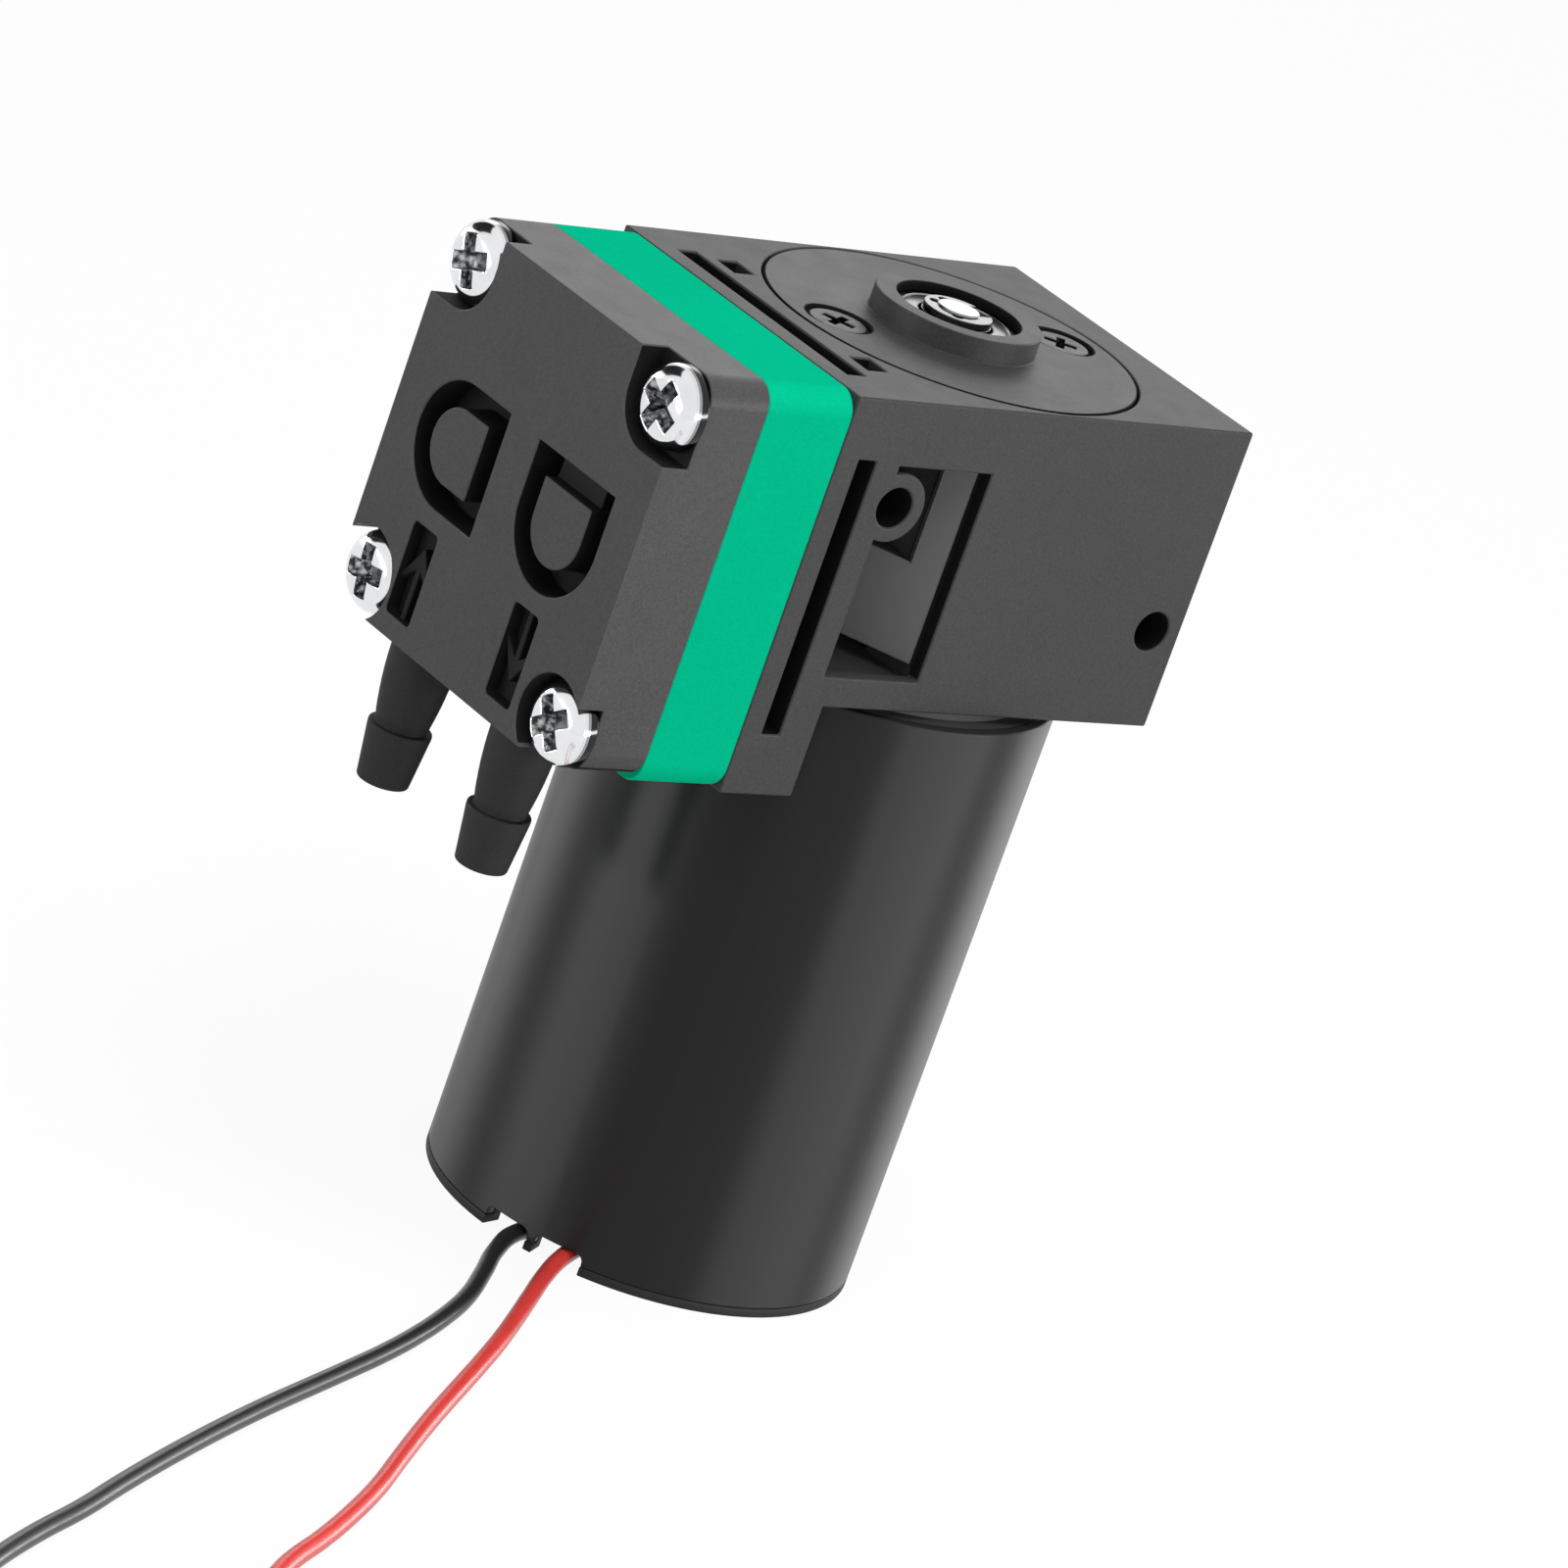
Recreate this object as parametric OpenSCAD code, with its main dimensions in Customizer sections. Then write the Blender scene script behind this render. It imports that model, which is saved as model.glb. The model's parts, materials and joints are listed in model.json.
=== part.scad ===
// Diaphragm micro pump: a valve head and a moulded crank housing on a round brushed motor.
// The motor stands on its end face with the shaft on the Z axis, -Y looks at the valve head,
// and +X at the open window. Everything is in millimetres.

/* [Body] */
// Width of the head cover, the middle plate and the housing
body_w = 25; // [24.8:0.1:27]
// Height of the housing block above the motor
block_h = 20; // [19.6:0.1:23]
// How far the head and the housing's front lip hang below the block
front_drop = 6; // [5.6:0.1:6.6]
// Shaft axis to the head cover's face
axis_to_front = 29.5; // [29.4:0.1:32]
// Shaft axis to the housing's rear face
axis_to_back = 15; // [14.6:0.1:18]
// Thickness of the head cover
head_t = 6.4; // [6.2:0.1:7]
// Thickness of the middle plate
plate_t = 6.4; // [6.2:0.1:6.6]
// Thickness of the housing's front lip
lip_t = 5.6; // [4.5:0.1:6]
// How far the head cover's underside sits above the middle plate's
head_rise = 0.5; // [0.3:0.1:0.6]
// Corner radius of the head cover and the middle plate
corner_r = 1.6; // [0.5:0.1:2]

/* [Head cover] */
// Distance between the head screws, both ways
screw_pitch = 20.5; // [20.3:0.1:20.7]
// How far the screw pattern sits above the middle of the face
screw_rise = 0.2; // [0:0.1:0.3]
// Depth of the corner notches that the screw heads sit in
notch_depth = 2; // [1.8:0.1:2.4]
// Radius of the corner notches round the screw heads
notch_r = 2.95; // [2.8:0.05:3.1]
// Distance between the two barbs, and between the two chambers
port_pitch = 11.1; // [10.9:0.1:11.3]
// Outer radius of the groove round each chamber
ring_r = 4.05; // [3.8:0.05:4.2]
// Width of the groove round each chamber
ring_w = 1.6; // [1.2:0.1:1.7]
// Depth of the groove round each chamber
ring_depth = 2.4; // [1.5:0.1:2.6]
// Depth of the shallow stretch on the outlet groove's straight side
ring_step = 1; // [0.6:0.1:1.4]
// Width of the flow arrow pockets
pocket_w = 2.6; // [2.3:0.1:2.8]
// Height of the flow arrow pockets
pocket_h = 6; // [5.6:0.1:6.4]
// Depth of the flow arrow pockets
pocket_depth = 1.1; // [0.8:0.1:1.3]
// Depth of the raised arrow's top below the face
arrow_sink = 0.45; // [0.2:0.05:0.6]
// Width of the raised arrow's stem
arrow_w = 0.45; // [0.35:0.05:0.6]

/* [Hose barbs] */
// Length of a barb below the head cover
barb_l = 8.7; // [8:0.1:10]
// Length of the cone at the barb's end
barb_cone_l = 3.7; // [3:0.1:4.5]
// Diameter of the barb's neck behind the collar
neck_d = 3.3; // [3.1:0.1:3.8]
// Diameter of the barb's neck at the head cover
neck_root_d = 4.3; // [3.9:0.1:4.6]
// Diameter of the barb's sharp collar
barb_d = 4.05; // [3.9:0.05:4.4]
// Diameter of the barb's tip
barb_tip_d = 3.3; // [3:0.1:3.5]
// Diameter of the bore through the barb
barb_bore = 1.9; // [1.5:0.1:2.1]
// Barb axis behind the head cover's face
barb_inset = 2.9; // [2.8:0.1:3.2]

/* [Housing] */
// Thickness of the housing's side walls at the windows
wall_t = 1; // [0.8:0.1:1.2]
// Thickness of the housing's floor over the motor
floor_t = 1.6; // [1.4:0.1:2]
// Thickness of the housing's front frame
frame_t = 3.8; // [3.7:0.1:4]
// Thickness of the slanted wall between the crank chamber and the bay
slant_t = 1.38; // [1.2:0.02:1.5]
// Angle of the slanted wall's normal from the X axis
slant_angle = 59; // [57:0.5:61]
// Height of the slanted wall's low part above the floor
low_wall_h = 7; // [6.5:0.1:8]
// Half width of the opening above the slanted wall's low part
cutout_x = 9.5; // [9:0.1:10]
// Width of the windows
window_w = 7.3; // [7:0.1:7.6]
// Height of the windows
window_h = 13.8; // [13.4:0.1:14.2]
// Sill of the windows above the block's underside
window_sill = 2; // [1.8:0.1:2.4]
// Width of the rail between the side slot and the window
rail_w = 1.9; // [1.7:0.1:2.1]
// Width of the thin slots in the sides and the top
slot_w = 1.35; // [1:0.05:1.5]
// Front frame in front of the thin slots
slot_inset = 1.65; // [1.5:0.05:1.8]
// Depth of the side slots
slot_depth = 3.5; // [2.5:0.1:3.8]
// Height of the side slots
side_slot_h = 18; // [17:0.5:18.5]
// Length of the top slot
top_slot_l = 18; // [16:0.5:18.5]
// Depth of the top slot
top_slot_depth = 2; // [1.5:0.1:2.2]
// Diameter of the mounting holes for self-forming screws
hole_d = 2.6; // [2.3:0.1:2.8]
// Depth of the front mounting holes
front_hole_depth = 8; // [6:0.5:9]
// Depth of the rear mounting holes
rear_hole_depth = 7; // [6:0.5:9]
// Outer diameter of the ring boss round the front mounting hole
hole_boss_d = 4.5; // [4.3:0.1:4.8]
// Rear mounting hole in front of the housing's rear face
rear_hole_inset = 2.3; // [2.1:0.1:2.6]
// Rear mounting hole above the block's underside
rear_hole_z = 6.4; // [5:0.1:8]
// Front mounting hole above the block's underside
front_hole_z = 13.15; // [13:0.05:13.4]

/* [Cover plate] */
// Diameter of the round cover plate
cover_d = 24; // [23.6:0.1:24.2]
// Thickness of the round cover plate
cover_t = 2.5; // [2.4:0.1:3]
// Gap between the cover plate and its recess
cover_gap = 0.15; // [0.05:0.01:0.2]
// Diameter of the bearing boss
boss_d = 10.7; // [10:0.1:12]
// Height of the bearing boss
boss_h = 1.5; // [1.3:0.1:2]
// Distance between the cover screws
cover_screw_pitch = 18; // [17.9:0.1:18.2]
// Head diameter of the cover screws
cover_head_d = 3.7; // [3.4:0.1:4]
// Diameter of the sinks that the cover screws' heads sit in
cover_sink_d = 4.3; // [4.2:0.1:4.6]

/* [Crank] */
// Crank throw, half of the diaphragm's stroke
throw = 1; // [0.8:0.05:1.05]
// Diameter of the crank journal
journal_d = 6; // [5.9:0.1:6]
// Outer diameter of the rod's bearing
rod_bearing_d = 10; // [9.8:0.1:10.2]
// Width of the rod's bearing
rod_bearing_w = 3; // [2.8:0.1:3.2]
// Diameter of the rod's big end
big_end_d = 12.8; // [12:0.1:13]
// Height of the rod
rod_h = 5; // [4.8:0.1:5.2]
// Width of the rod's shank
shank_w = 5; // [4:0.1:5.2]
// Radius of the counterweight
counter_r = 6.4; // [6:0.1:6.5]
// Height of the counterweight
counter_h = 4.4; // [3:0.1:5]

/* [Diaphragm and valves] */
// Outer diameter of the diaphragm
diaphragm_d = 22; // [21:0.1:22.4]
// Diameter of the part of the diaphragm that flexes
flex_d = 17; // [16:0.1:17.4]
// Thickness of the diaphragm
diaphragm_t = 0.8; // [0.6:0.1:0.9]
// Diameter of the diaphragm's clamping washer
washer_d = 9.6; // [9:0.1:10]
// Thickness of the diaphragm's clamping washer
washer_t = 1; // [0.8:0.1:1.2]
// Width of a valve flap
flap_w = 5; // [4.6:0.1:5.4]
// Length of a valve flap
flap_l = 6.2; // [6:0.1:6.6]
// Thickness of the valve sheet
sheet_t = 0.5; // [0.4:0.05:0.6]
// Depth of the pockets that the flaps open into
flap_pocket = 1.7; // [1.5:0.1:1.8]

/* [Motor] */
// Diameter of the motor
motor_d = 28; // [27.8:0.1:28.1]
// Length of the motor below the housing block
motor_l = 41; // [40:0.5:50]
// Wall of the motor's tube
case_t = 0.8; // [0.7:0.05:0.9]
// Gap between the tube's rim and the housing block
rim_gap = 0.5; // [0.3:0.1:0.8]
// Height of the end cap's ring under the tube
ring_h = 0.6; // [0.5:0.1:0.8]
// Diameter of the shaft
shaft_d = 3; // [2.8:0.1:3.1]
// Outer diameter of the top bearing
bearing_d = 8; // [7.8:0.1:8.2]
// Width of the top bearing
bearing_w = 2.5; // [2.3:0.1:2.6]
// Thickness of the magnets
magnet_t = 2.6; // [2.4:0.1:2.9]
// Length of the armature's core
core_l = 17; // [14:0.5:19]
// Length of the magnets
magnet_l = 24; // [20:0.5:26]
// Width of the two lead notches in the motor's rim
bite_w = 3.3; // [3:0.1:3.4]
// Height of the two lead notches in the motor's rim
bite_h = 1.3; // [1.25:0.05:1.35]

/* [Leads] */
// Diameter of a lead
lead_d = 1.15; // [1:0.05:1.2]
// Radius of the outer turn of each lead's coil
coil_r = 7.5; // [7.5:0.1:7.6]
// Length of the bare end of a lead
tip_l = 4; // [3:0.5:5]
// Diameter of the bare end of a lead
tip_d = 0.7; // [0.6:0.05:0.8]

/* [Hidden] */
$fn = 64;

// Small clearances and cutting allowances
fit = 0.02;
run = 0.03;
over = 1;

// Levels along the shaft
z_block = motor_l;
z_top = z_block + block_h;
z_low = z_block - front_drop;
z_mid = (z_top + z_low) / 2;
z_floor = z_block + floor_t;
z_roof = z_top - cover_t;
z_rim = z_block - rim_gap;
front_h = z_top - z_low;

// Planes from the head cover's face to the bay behind the front frame
side = body_w / 2;
y_face = -axis_to_front;
y_plate = y_face + head_t;
y_house = y_plate + plate_t;
y_lip = y_house + lip_t;
y_bay = y_house + frame_t;
y_slot = y_house + slot_inset;
y_window = y_slot + slot_w + rail_w;
y_seat = y_face + notch_depth;

// Screws: shank, head and clearance hole of each kind
head_screw_d = 2.4;
head_screw_hole_d = 2.7;
pan_d = 5.15;
pan_h = 1.9;
head_screw_bite = 5;
cover_screw_d = 1.7;
cover_screw_l = 6;
cover_screw_drop = 0.12;
cover_rim_h = 0.25;
motor_screw_d = 2;
motor_screw_x = 5.5;
motor_screw_head_d = 3.8;
motor_screw_head_h = 1.3;
motor_screw_l = 4;
recess_w = 0.75;
recess_d = 0.9;
recess_l = 2.7;

// Ports and valves
port_x = port_pitch / 2;
y_barb = y_face + barb_inset;
port_z = z_mid + 0.25;
arrow_z = z_low + 4.9;
well_top = z_mid - 4.5;
flap_top = z_mid + 2.8;
flap_gap = 0.3;
hinge_gap = 0.1;
flap_t = sheet_t - 0.1;
sheet_w = 22;
sheet_h = 12;
inlet_port_d = 3.2;
outlet_port_d = 2.4;
channel_d = 2;
y_sheet = y_plate + sheet_t;
dome_depth = 2 * throw + 0.4;

// Crank levels: the rod's bearing is centred on the diaphragm's axis
bearing_low = z_mid - rod_bearing_w / 2;
bearing_high = z_mid + rod_bearing_w / 2;
rod_low = z_mid - rod_h / 2;
rod_high = z_mid + rod_h / 2;
shoulder_d = journal_d + 1.4;
race_t = 0.6;
counter_low = rod_high + 0.4;
counter_high = counter_low + counter_h;
hub_d = shaft_d + 1.6;
chamber_r = big_end_d / 2 + throw + 1;
chamber_step = rod_high + 1;
upper_r = counter_r + 0.8;
wall_distance = chamber_r + slant_t;
bay_x = side - wall_t;
rod_gap = shank_w / 2 + throw + 0.9;
slit_h = 1;
low_wall_top = z_floor + low_wall_h;
rib_w = 4.8;
hole_end_t = 1.2;
rib_low = chamber_step + 0.5;

// Diaphragm at rest: the crank is at the end of its pull
y_pull = y_house + throw;
y_flange = y_pull + diaphragm_t;
flange_t = 1.2;
bowl_depth = 2.3;
bowl_r = washer_d / 2 + throw + 0.6;
piston_r = washer_d / 2 + 0.4;
piston_screw_d = 2.4;
piston_screw_l = 5.5;
piston_head_r = 2.25;
piston_cone_h = washer_t - 0.2;

// Top bearing and cover
lip_h = 0.9;
bearing_z = z_roof + lip_h;
bearing_top = bearing_z + bearing_w;
clip_t = 0.4;
clip_d = 4.4;
clip_gap = 0.05;
shaft_top = bearing_top + 0.6;
shaft_low = 1.2;

// Motor
motor_r = motor_d / 2;
inner_r = motor_r - case_t;
flange_h = 2.3;
flange_low = z_rim - flange_h;
rim_step = 1;
spigot_d = 8;
bushing_d = 6;
bushing_rise = 0.2;
rear_bushing_low = 0.9;
cap_low = 1.4;
cap_high = 4;
cap_wall = 1.6;
cap_wall_r = motor_r - cap_wall;
cap_hub_low = 0.5;
cap_hub_high = 5.2;
cap_hub_t = 1;
armature_gap = 0.5;
armature_d = 2 * (inner_r - magnet_t - armature_gap);
magnet_edge = 3.6;
core_low = 12;
magnet_low = core_low - (magnet_l - core_l) / 2;
commutator_low = 5.6;
commutator_h = 4;
commutator_d = 6.8;
pole_w = 4.4;
hub_r = 4.5;
shoe_t = 1.3;
pole_gap = 1.6;
winding_w = 1.9;
winding_end = 1.8;
brush_l = 2.4;
brush_w = 2;
brush_h = 2.6;
arm_t = 0.4;
bite_round = 0.5;
bite_arcs = [3.8, 7.7];

// Leads: centre height, block that they come out of, and the two routes on the surface
lead_z = 0.6;
clamp_low = 0.1;
clamp_l = 3.5;
clamp_w = 8;
clamp_turn = 12;
clamp_r = cap_wall_r - 1.4;
black_route = [
    [3.6, -10.4], [4.5, -13.2], [6.7, -16.2], [9.5, -19.1], [12.4, -22.3], [14.9, -25.8], [17.1, -29.4],
    [19.1, -33.1], [21, -37], [22.9, -41], [24.8, -45], [26.8, -49], [28.9, -53], [31.1, -57],
    [33.4, -61], [35.8, -65], [38.5, -70], [41.4, -74.7], [43.2, -77.1], [45, -79.5]
];
red_route = [
    [6.1, -9.2], [7.7, -11.8], [9.9, -14.6], [12.4, -17.4], [15, -20.3], [17.7, -23.4], [20.4, -26.7],
    [23.1, -30.1], [25.8, -33.5], [28.5, -36.8], [31.3, -40.1], [34.2, -43.5], [37, -47.2],
    [39.6, -51], [41.9, -54.7], [43.7, -57.1], [45.5, -59.5]
];
black_coil_at = [54, -79];
red_coil_at = [54.5, -59];
stub_l = 5;
end_stub_l = 2.2;
end_stub_turn = 55;
coil_start = 216.87;
turn_gap = 0.1;
black_turns = 1.5;
red_turns = 1.9;

// Extrusions along X and Y, shapes on both sides, and a rounded rectangle
module along_x(x0, x1)
    translate([x0, 0, 0]) rotate([90, 0, 90]) linear_extrude(x1 - x0) children();

module along_y(y0, y1)
    translate([0, y1, 0]) rotate([90, 0, 0]) linear_extrude(y1 - y0) children();

module both_sides() {
    children();
    mirror([1, 0, 0]) children();
}

module rounded_box(w, h, r) {
    square([w - 2 * r, h], center = true);
    square([w, h - 2 * r], center = true);
    for (x = [-1, 1], y = [-1, 1])
        translate([x * (w / 2 - r), y * (h / 2 - r)]) circle(r);
}

module ring(d, bore, h)
    difference() {
        cylinder(d = d, h = h);
        translate([0, 0, -over]) cylinder(d = bore, h = h + 2 * over);
    }

// Turned shapes whose axis lies along Y: the profile gives radius and depth behind a plane
module turned_y(y) translate([0, y, z_mid]) rotate([-90, 0, 0]) rotate_extrude() children();

// Places of the four head screws, and of the two cover screws
module at_head_screws(y)
    for (x = [-1, 1], z = [-1, 1])
        translate([x * screw_pitch / 2, y, z_mid + screw_rise + z * screw_pitch / 2])
            rotate([-90, 0, 0]) children();

module at_cover_screws(z)
    for (y = [-1, 1]) translate([0, y * cover_screw_pitch / 2, z]) children();

module cross_recess(length, width, depth)
    for (turn = [0, 90])
        rotate(turn) translate([-length / 2, -width / 2, 0]) cube([length, width, depth]);

// Head cover: outline, corner notches, chamber grooves, arrow pockets and barbs
module front_shape(rise) translate([0, z_mid + rise / 2]) rounded_box(body_w, front_h - rise, corner_r);

module notch(top) {
    reach = notch_r + over;
    circle(notch_r);
    square([reach + side - screw_pitch / 2, reach + over]);
    if (top) {
        translate([0, -notch_r]) square([reach + side, notch_r + over]);
        translate([-notch_r, 0]) square([notch_r + over, reach + over]);
    }
}

module notches()
    both_sides() along_y(y_face - over, y_seat) {
        translate([screw_pitch / 2, z_mid + screw_rise + screw_pitch / 2]) notch(true);
        translate([screw_pitch / 2, z_mid + screw_rise - screw_pitch / 2])
            mirror([0, 1]) notch(false);
    }

module chamber_outline(r) {
    circle(r);
    translate([0, -r]) square([r - 0.15, 2 * r]);
}

module chamber_groove()
    difference() {
        chamber_outline(ring_r);
        chamber_outline(ring_r - ring_w);
    }

module grooves() {
    along_y(y_face - over, y_face + ring_depth)
        translate([-port_x - 0.1, port_z]) chamber_groove();
    difference() {
        along_y(y_face - over, y_face + ring_depth)
            translate([port_x - 0.1, port_z]) rotate(90) chamber_groove();
        translate([port_x - 2.6, y_face + ring_step, port_z + ring_r - ring_w - 0.2])
            cube([4.6, ring_depth, ring_w + 0.2]);
    }
}

module arrow() {
    tip = pocket_h * 0.285;
    drop = pocket_w * 0.82;
    translate([-arrow_w / 2, -pocket_h / 2]) square([arrow_w, pocket_h / 2 + tip - 1]);
    both_arrow_sides() polygon([
        [0, tip], [pocket_w / 2 + 0.1, tip - drop], [pocket_w / 2 + 0.1, tip - drop - 0.45], [0, tip - 1.3]
    ]);
}

module both_arrow_sides() {
    children();
    mirror([1, 0]) children();
}

module arrow_pocket(turn) {
    along_y(y_face - over, y_face + arrow_sink) rotate(turn) rounded_box(pocket_w, pocket_h, 0.3);
    along_y(y_face, y_face + pocket_depth) rotate(turn) difference() {
        rounded_box(pocket_w, pocket_h, 0.3);
        arrow();
    }
}

module arrow_pockets() {
    translate([-port_x - 0.2, 0, arrow_z]) arrow_pocket(0);
    translate([port_x - 0.2, 0, arrow_z]) arrow_pocket(180);
}

module barb() {
    shoulder = barb_l - barb_cone_l;
    neck_r = neck_d / 2;
    flare = (neck_root_d - neck_d) / 2;
    translate([0, y_barb, z_low]) rotate([180, 0, 0]) rotate_extrude() polygon(concat(
        [[0, -over], [neck_r + flare, -over]],
        [for (t = [0:0.125:1]) [neck_r + flare * (1 - t * t), t * shoulder]],
        [[barb_d / 2, shoulder], [barb_d / 2, shoulder + 0.3], [barb_tip_d / 2, barb_l], [0, barb_l]]
    ));
}

module head_cover() {
    color([0.2, 0.2, 0.21])
    difference() {
        union() {
            along_y(y_face, y_plate) front_shape(head_rise);
            for (x = [-port_x, port_x]) translate([x, 0, 0]) barb();
        }
        notches();
        grooves();
        arrow_pockets();
        at_head_screws(y_face) cylinder(d = head_screw_hole_d, h = head_t + over);
        for (x = [-port_x, port_x]) {
            translate([x, y_barb, z_low - barb_l - over])
                cylinder(d = barb_bore, h = well_top - z_low + barb_l + over);
            translate([x - barb_bore / 2, y_barb, well_top - 1.8])
                cube([barb_bore, y_plate - y_barb + over, 1.8]);
        }
        translate([-port_x, 0, 0]) inlet_way();
        translate([port_x - flap_w / 2 - flap_gap, y_plate - flap_pocket, well_top - 1])
            cube([flap_w + 2 * flap_gap, flap_pocket + over, flap_top - well_top + 1]);
    }
}

// The inlet's way from the well up to its port, under the flap
module inlet_way() {
    translate([0, y_plate - flap_pocket, flap_top - flap_l / 2]) rotate([-90, 0, 0])
        cylinder(d = inlet_port_d, h = flap_pocket + over);
    translate([-barb_bore / 2, y_plate - flap_pocket, well_top - 1])
        cube([barb_bore, flap_pocket - 0.6, flap_top - flap_l / 2 - well_top + 1]);
}

// Middle plate: recess for the valve sheet, the inlet flap's pocket, ports and the dome
module middle_plate() {
    color([0.02, 0.72, 0.54])
    difference() {
        along_y(y_plate, y_house) front_shape(0);
        at_head_screws(y_plate - over) cylinder(d = head_screw_hole_d, h = plate_t + 2 * over);
        along_y(y_plate - over, y_sheet) translate([0, z_mid]) rounded_box(sheet_w, sheet_h, 1);
        translate([-port_x - flap_w / 2 - flap_gap, y_sheet - over, flap_top - flap_l - flap_gap])
            cube([flap_w + 2 * flap_gap, flap_pocket + over, flap_l + flap_gap + hinge_gap]);
        translate([-port_x, y_sheet, z_mid - 1.5]) rotate([-90, 0, 0])
            cylinder(d = channel_d, h = plate_t);
        translate([port_x, y_sheet - over, z_mid - 0.5]) rotate([-90, 0, 0])
            cylinder(d = outlet_port_d, h = plate_t);
        turned_y(y_house) polygon([
            [0, over], [flex_d / 2, over], [flex_d / 2, 0], [bowl_r + 0.8, -dome_depth], [0, -dome_depth]
        ]);
    }
}

// Valve sheet with a window round each flap, and the two flaps
module valve_sheet() {
    color([0.75, 0.35, 0.2])
    along_y(y_plate, y_sheet) difference() {
        translate([0, z_mid]) rounded_box(sheet_w - 0.2, sheet_h - 0.2, 1);
        for (x = [-port_x, port_x])
            translate([x - flap_w / 2 - flap_gap, flap_top - flap_l - flap_gap])
                square([flap_w + 2 * flap_gap, flap_l + flap_gap + hinge_gap]);
    }
}

module flap(x)
    along_y(y_plate + (sheet_t - flap_t) / 2, y_sheet - (sheet_t - flap_t) / 2)
        translate([x, flap_top - flap_l + flap_w / 2]) {
            circle(d = flap_w);
            translate([-flap_w / 2, 0]) square([flap_w, flap_l - flap_w / 2]);
        }

module inlet_flap() color([0.8, 0.4, 0.25]) flap(-port_x);

module outlet_flap() color([0.8, 0.4, 0.25]) flap(port_x);

// Housing: block and lip, bay, crank chamber, windows, ring bosses, slots and holes
function wall_y(x) = -(wall_distance - x * cos(slant_angle)) / sin(slant_angle);

module side_profile()
    polygon([
        [y_house, z_low], [y_lip, z_low], [y_lip, z_block],
        [axis_to_back, z_block], [axis_to_back, z_top], [y_house, z_top]
    ]);

module bay() {
    translate([0, 0, z_floor]) linear_extrude(z_roof - z_floor) polygon([
        [-bay_x, y_bay], [bay_x, y_bay], [bay_x, wall_y(bay_x)], [rod_gap, wall_y(rod_gap)],
        [-rod_gap, wall_y(rod_gap)], [-bay_x, wall_y(bay_x)]
    ]);
    translate([-bay_x, y_bay, z_floor]) cube([2 * bay_x, wall_y(bay_x) - y_bay, slit_h]);
    translate([-rod_gap, y_bay, z_floor]) cube([2 * rod_gap, -y_bay, chamber_step - z_floor]);
    translate([-cutout_x, y_bay, low_wall_top])
        cube([2 * cutout_x, wall_y(cutout_x) - y_bay + 0.1, z_roof - low_wall_top]);
}

module crank_chamber() {
    translate([0, 0, z_floor]) cylinder(r = chamber_r, h = chamber_step - z_floor);
    translate([0, 0, chamber_step - over]) cylinder(r = upper_r, h = z_roof - chamber_step + 2 * over);
}

module window()
    along_x(bay_x - fit, side + over)
        translate([y_window, z_block + window_sill]) square([window_w, window_h]);

module ring_boss()
    translate([side - front_hole_depth - hole_end_t, y_window + 0.7, z_block + front_hole_z])
        rotate([0, 90, 0]) cylinder(d = hole_boss_d, h = front_hole_depth + hole_end_t);

module mounting_hole(y, z, depth)
    translate([side - depth, y, z_block + z]) rotate([0, 90, 0]) cylinder(d = hole_d, h = depth + over);

module side_slot()
    translate([side - slot_depth, y_slot, z_mid - side_slot_h / 2])
        cube([slot_depth + over, slot_w, side_slot_h]);

module top_pocket()
    translate([6.1, y_bay + 0.2, z_roof - over]) cube([1.9, 1.5, cover_t + 2 * over]);

module bowl() {
    turned_y(y_house) polygon([
        [0, -over], [diaphragm_d / 2 + 0.05, -over], [diaphragm_d / 2 + 0.05, diaphragm_t],
        [flex_d / 2, diaphragm_t], [piston_r + throw + 0.2, bowl_depth], [0, bowl_depth]
    ]);
    for (x = [-throw, throw])
        translate([x, y_house, z_mid]) rotate([-90, 0, 0]) cylinder(r = piston_r, h = frame_t + over);
    translate([-throw, y_house, z_mid - piston_r]) cube([2 * throw, frame_t + over, 2 * piston_r]);
}

module housing() {
    color([0.22, 0.22, 0.23])
    difference() {
        union() {
            difference() {
                along_x(-side, side) side_profile();
                bay();
                both_sides() window();
            }
            both_sides() ring_boss();
            translate([-rib_w / 2, y_bay - over, rib_low])
                cube([rib_w, over - y_bay, z_roof - rib_low]);
        }
        crank_chamber();
        translate([0, 0, z_roof]) cylinder(d = cover_d + 2 * cover_gap, h = cover_t + over);
        translate([0, 0, z_low - over]) cylinder(r = motor_r + 0.3, h = front_drop + over);
        bowl();
        both_sides() side_slot();
        both_sides() top_pocket();
        both_sides() mounting_hole(y_window + 0.7, front_hole_z, front_hole_depth);
        both_sides() mounting_hole(axis_to_back - rear_hole_inset, rear_hole_z, rear_hole_depth);
        translate([-top_slot_l / 2, y_slot, z_top - top_slot_depth])
            cube([top_slot_l, slot_w, top_slot_depth + over]);
        at_head_screws(y_house - over)
            cylinder(d = head_screw_d + 2 * fit, h = head_screw_bite + over + 0.2);
        at_cover_screws(z_roof - cover_screw_l)
            cylinder(d = cover_screw_d + 2 * fit, h = cover_screw_l + over);
        translate([0, 0, z_block - over]) cylinder(d = spigot_d + 4 * fit, h = floor_t + 2 * over);
        for (x = [-motor_screw_x, motor_screw_x])
            translate([x, 0, z_block - over]) cylinder(d = motor_screw_d + 0.2, h = floor_t + 2 * over);
    }
}

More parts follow.
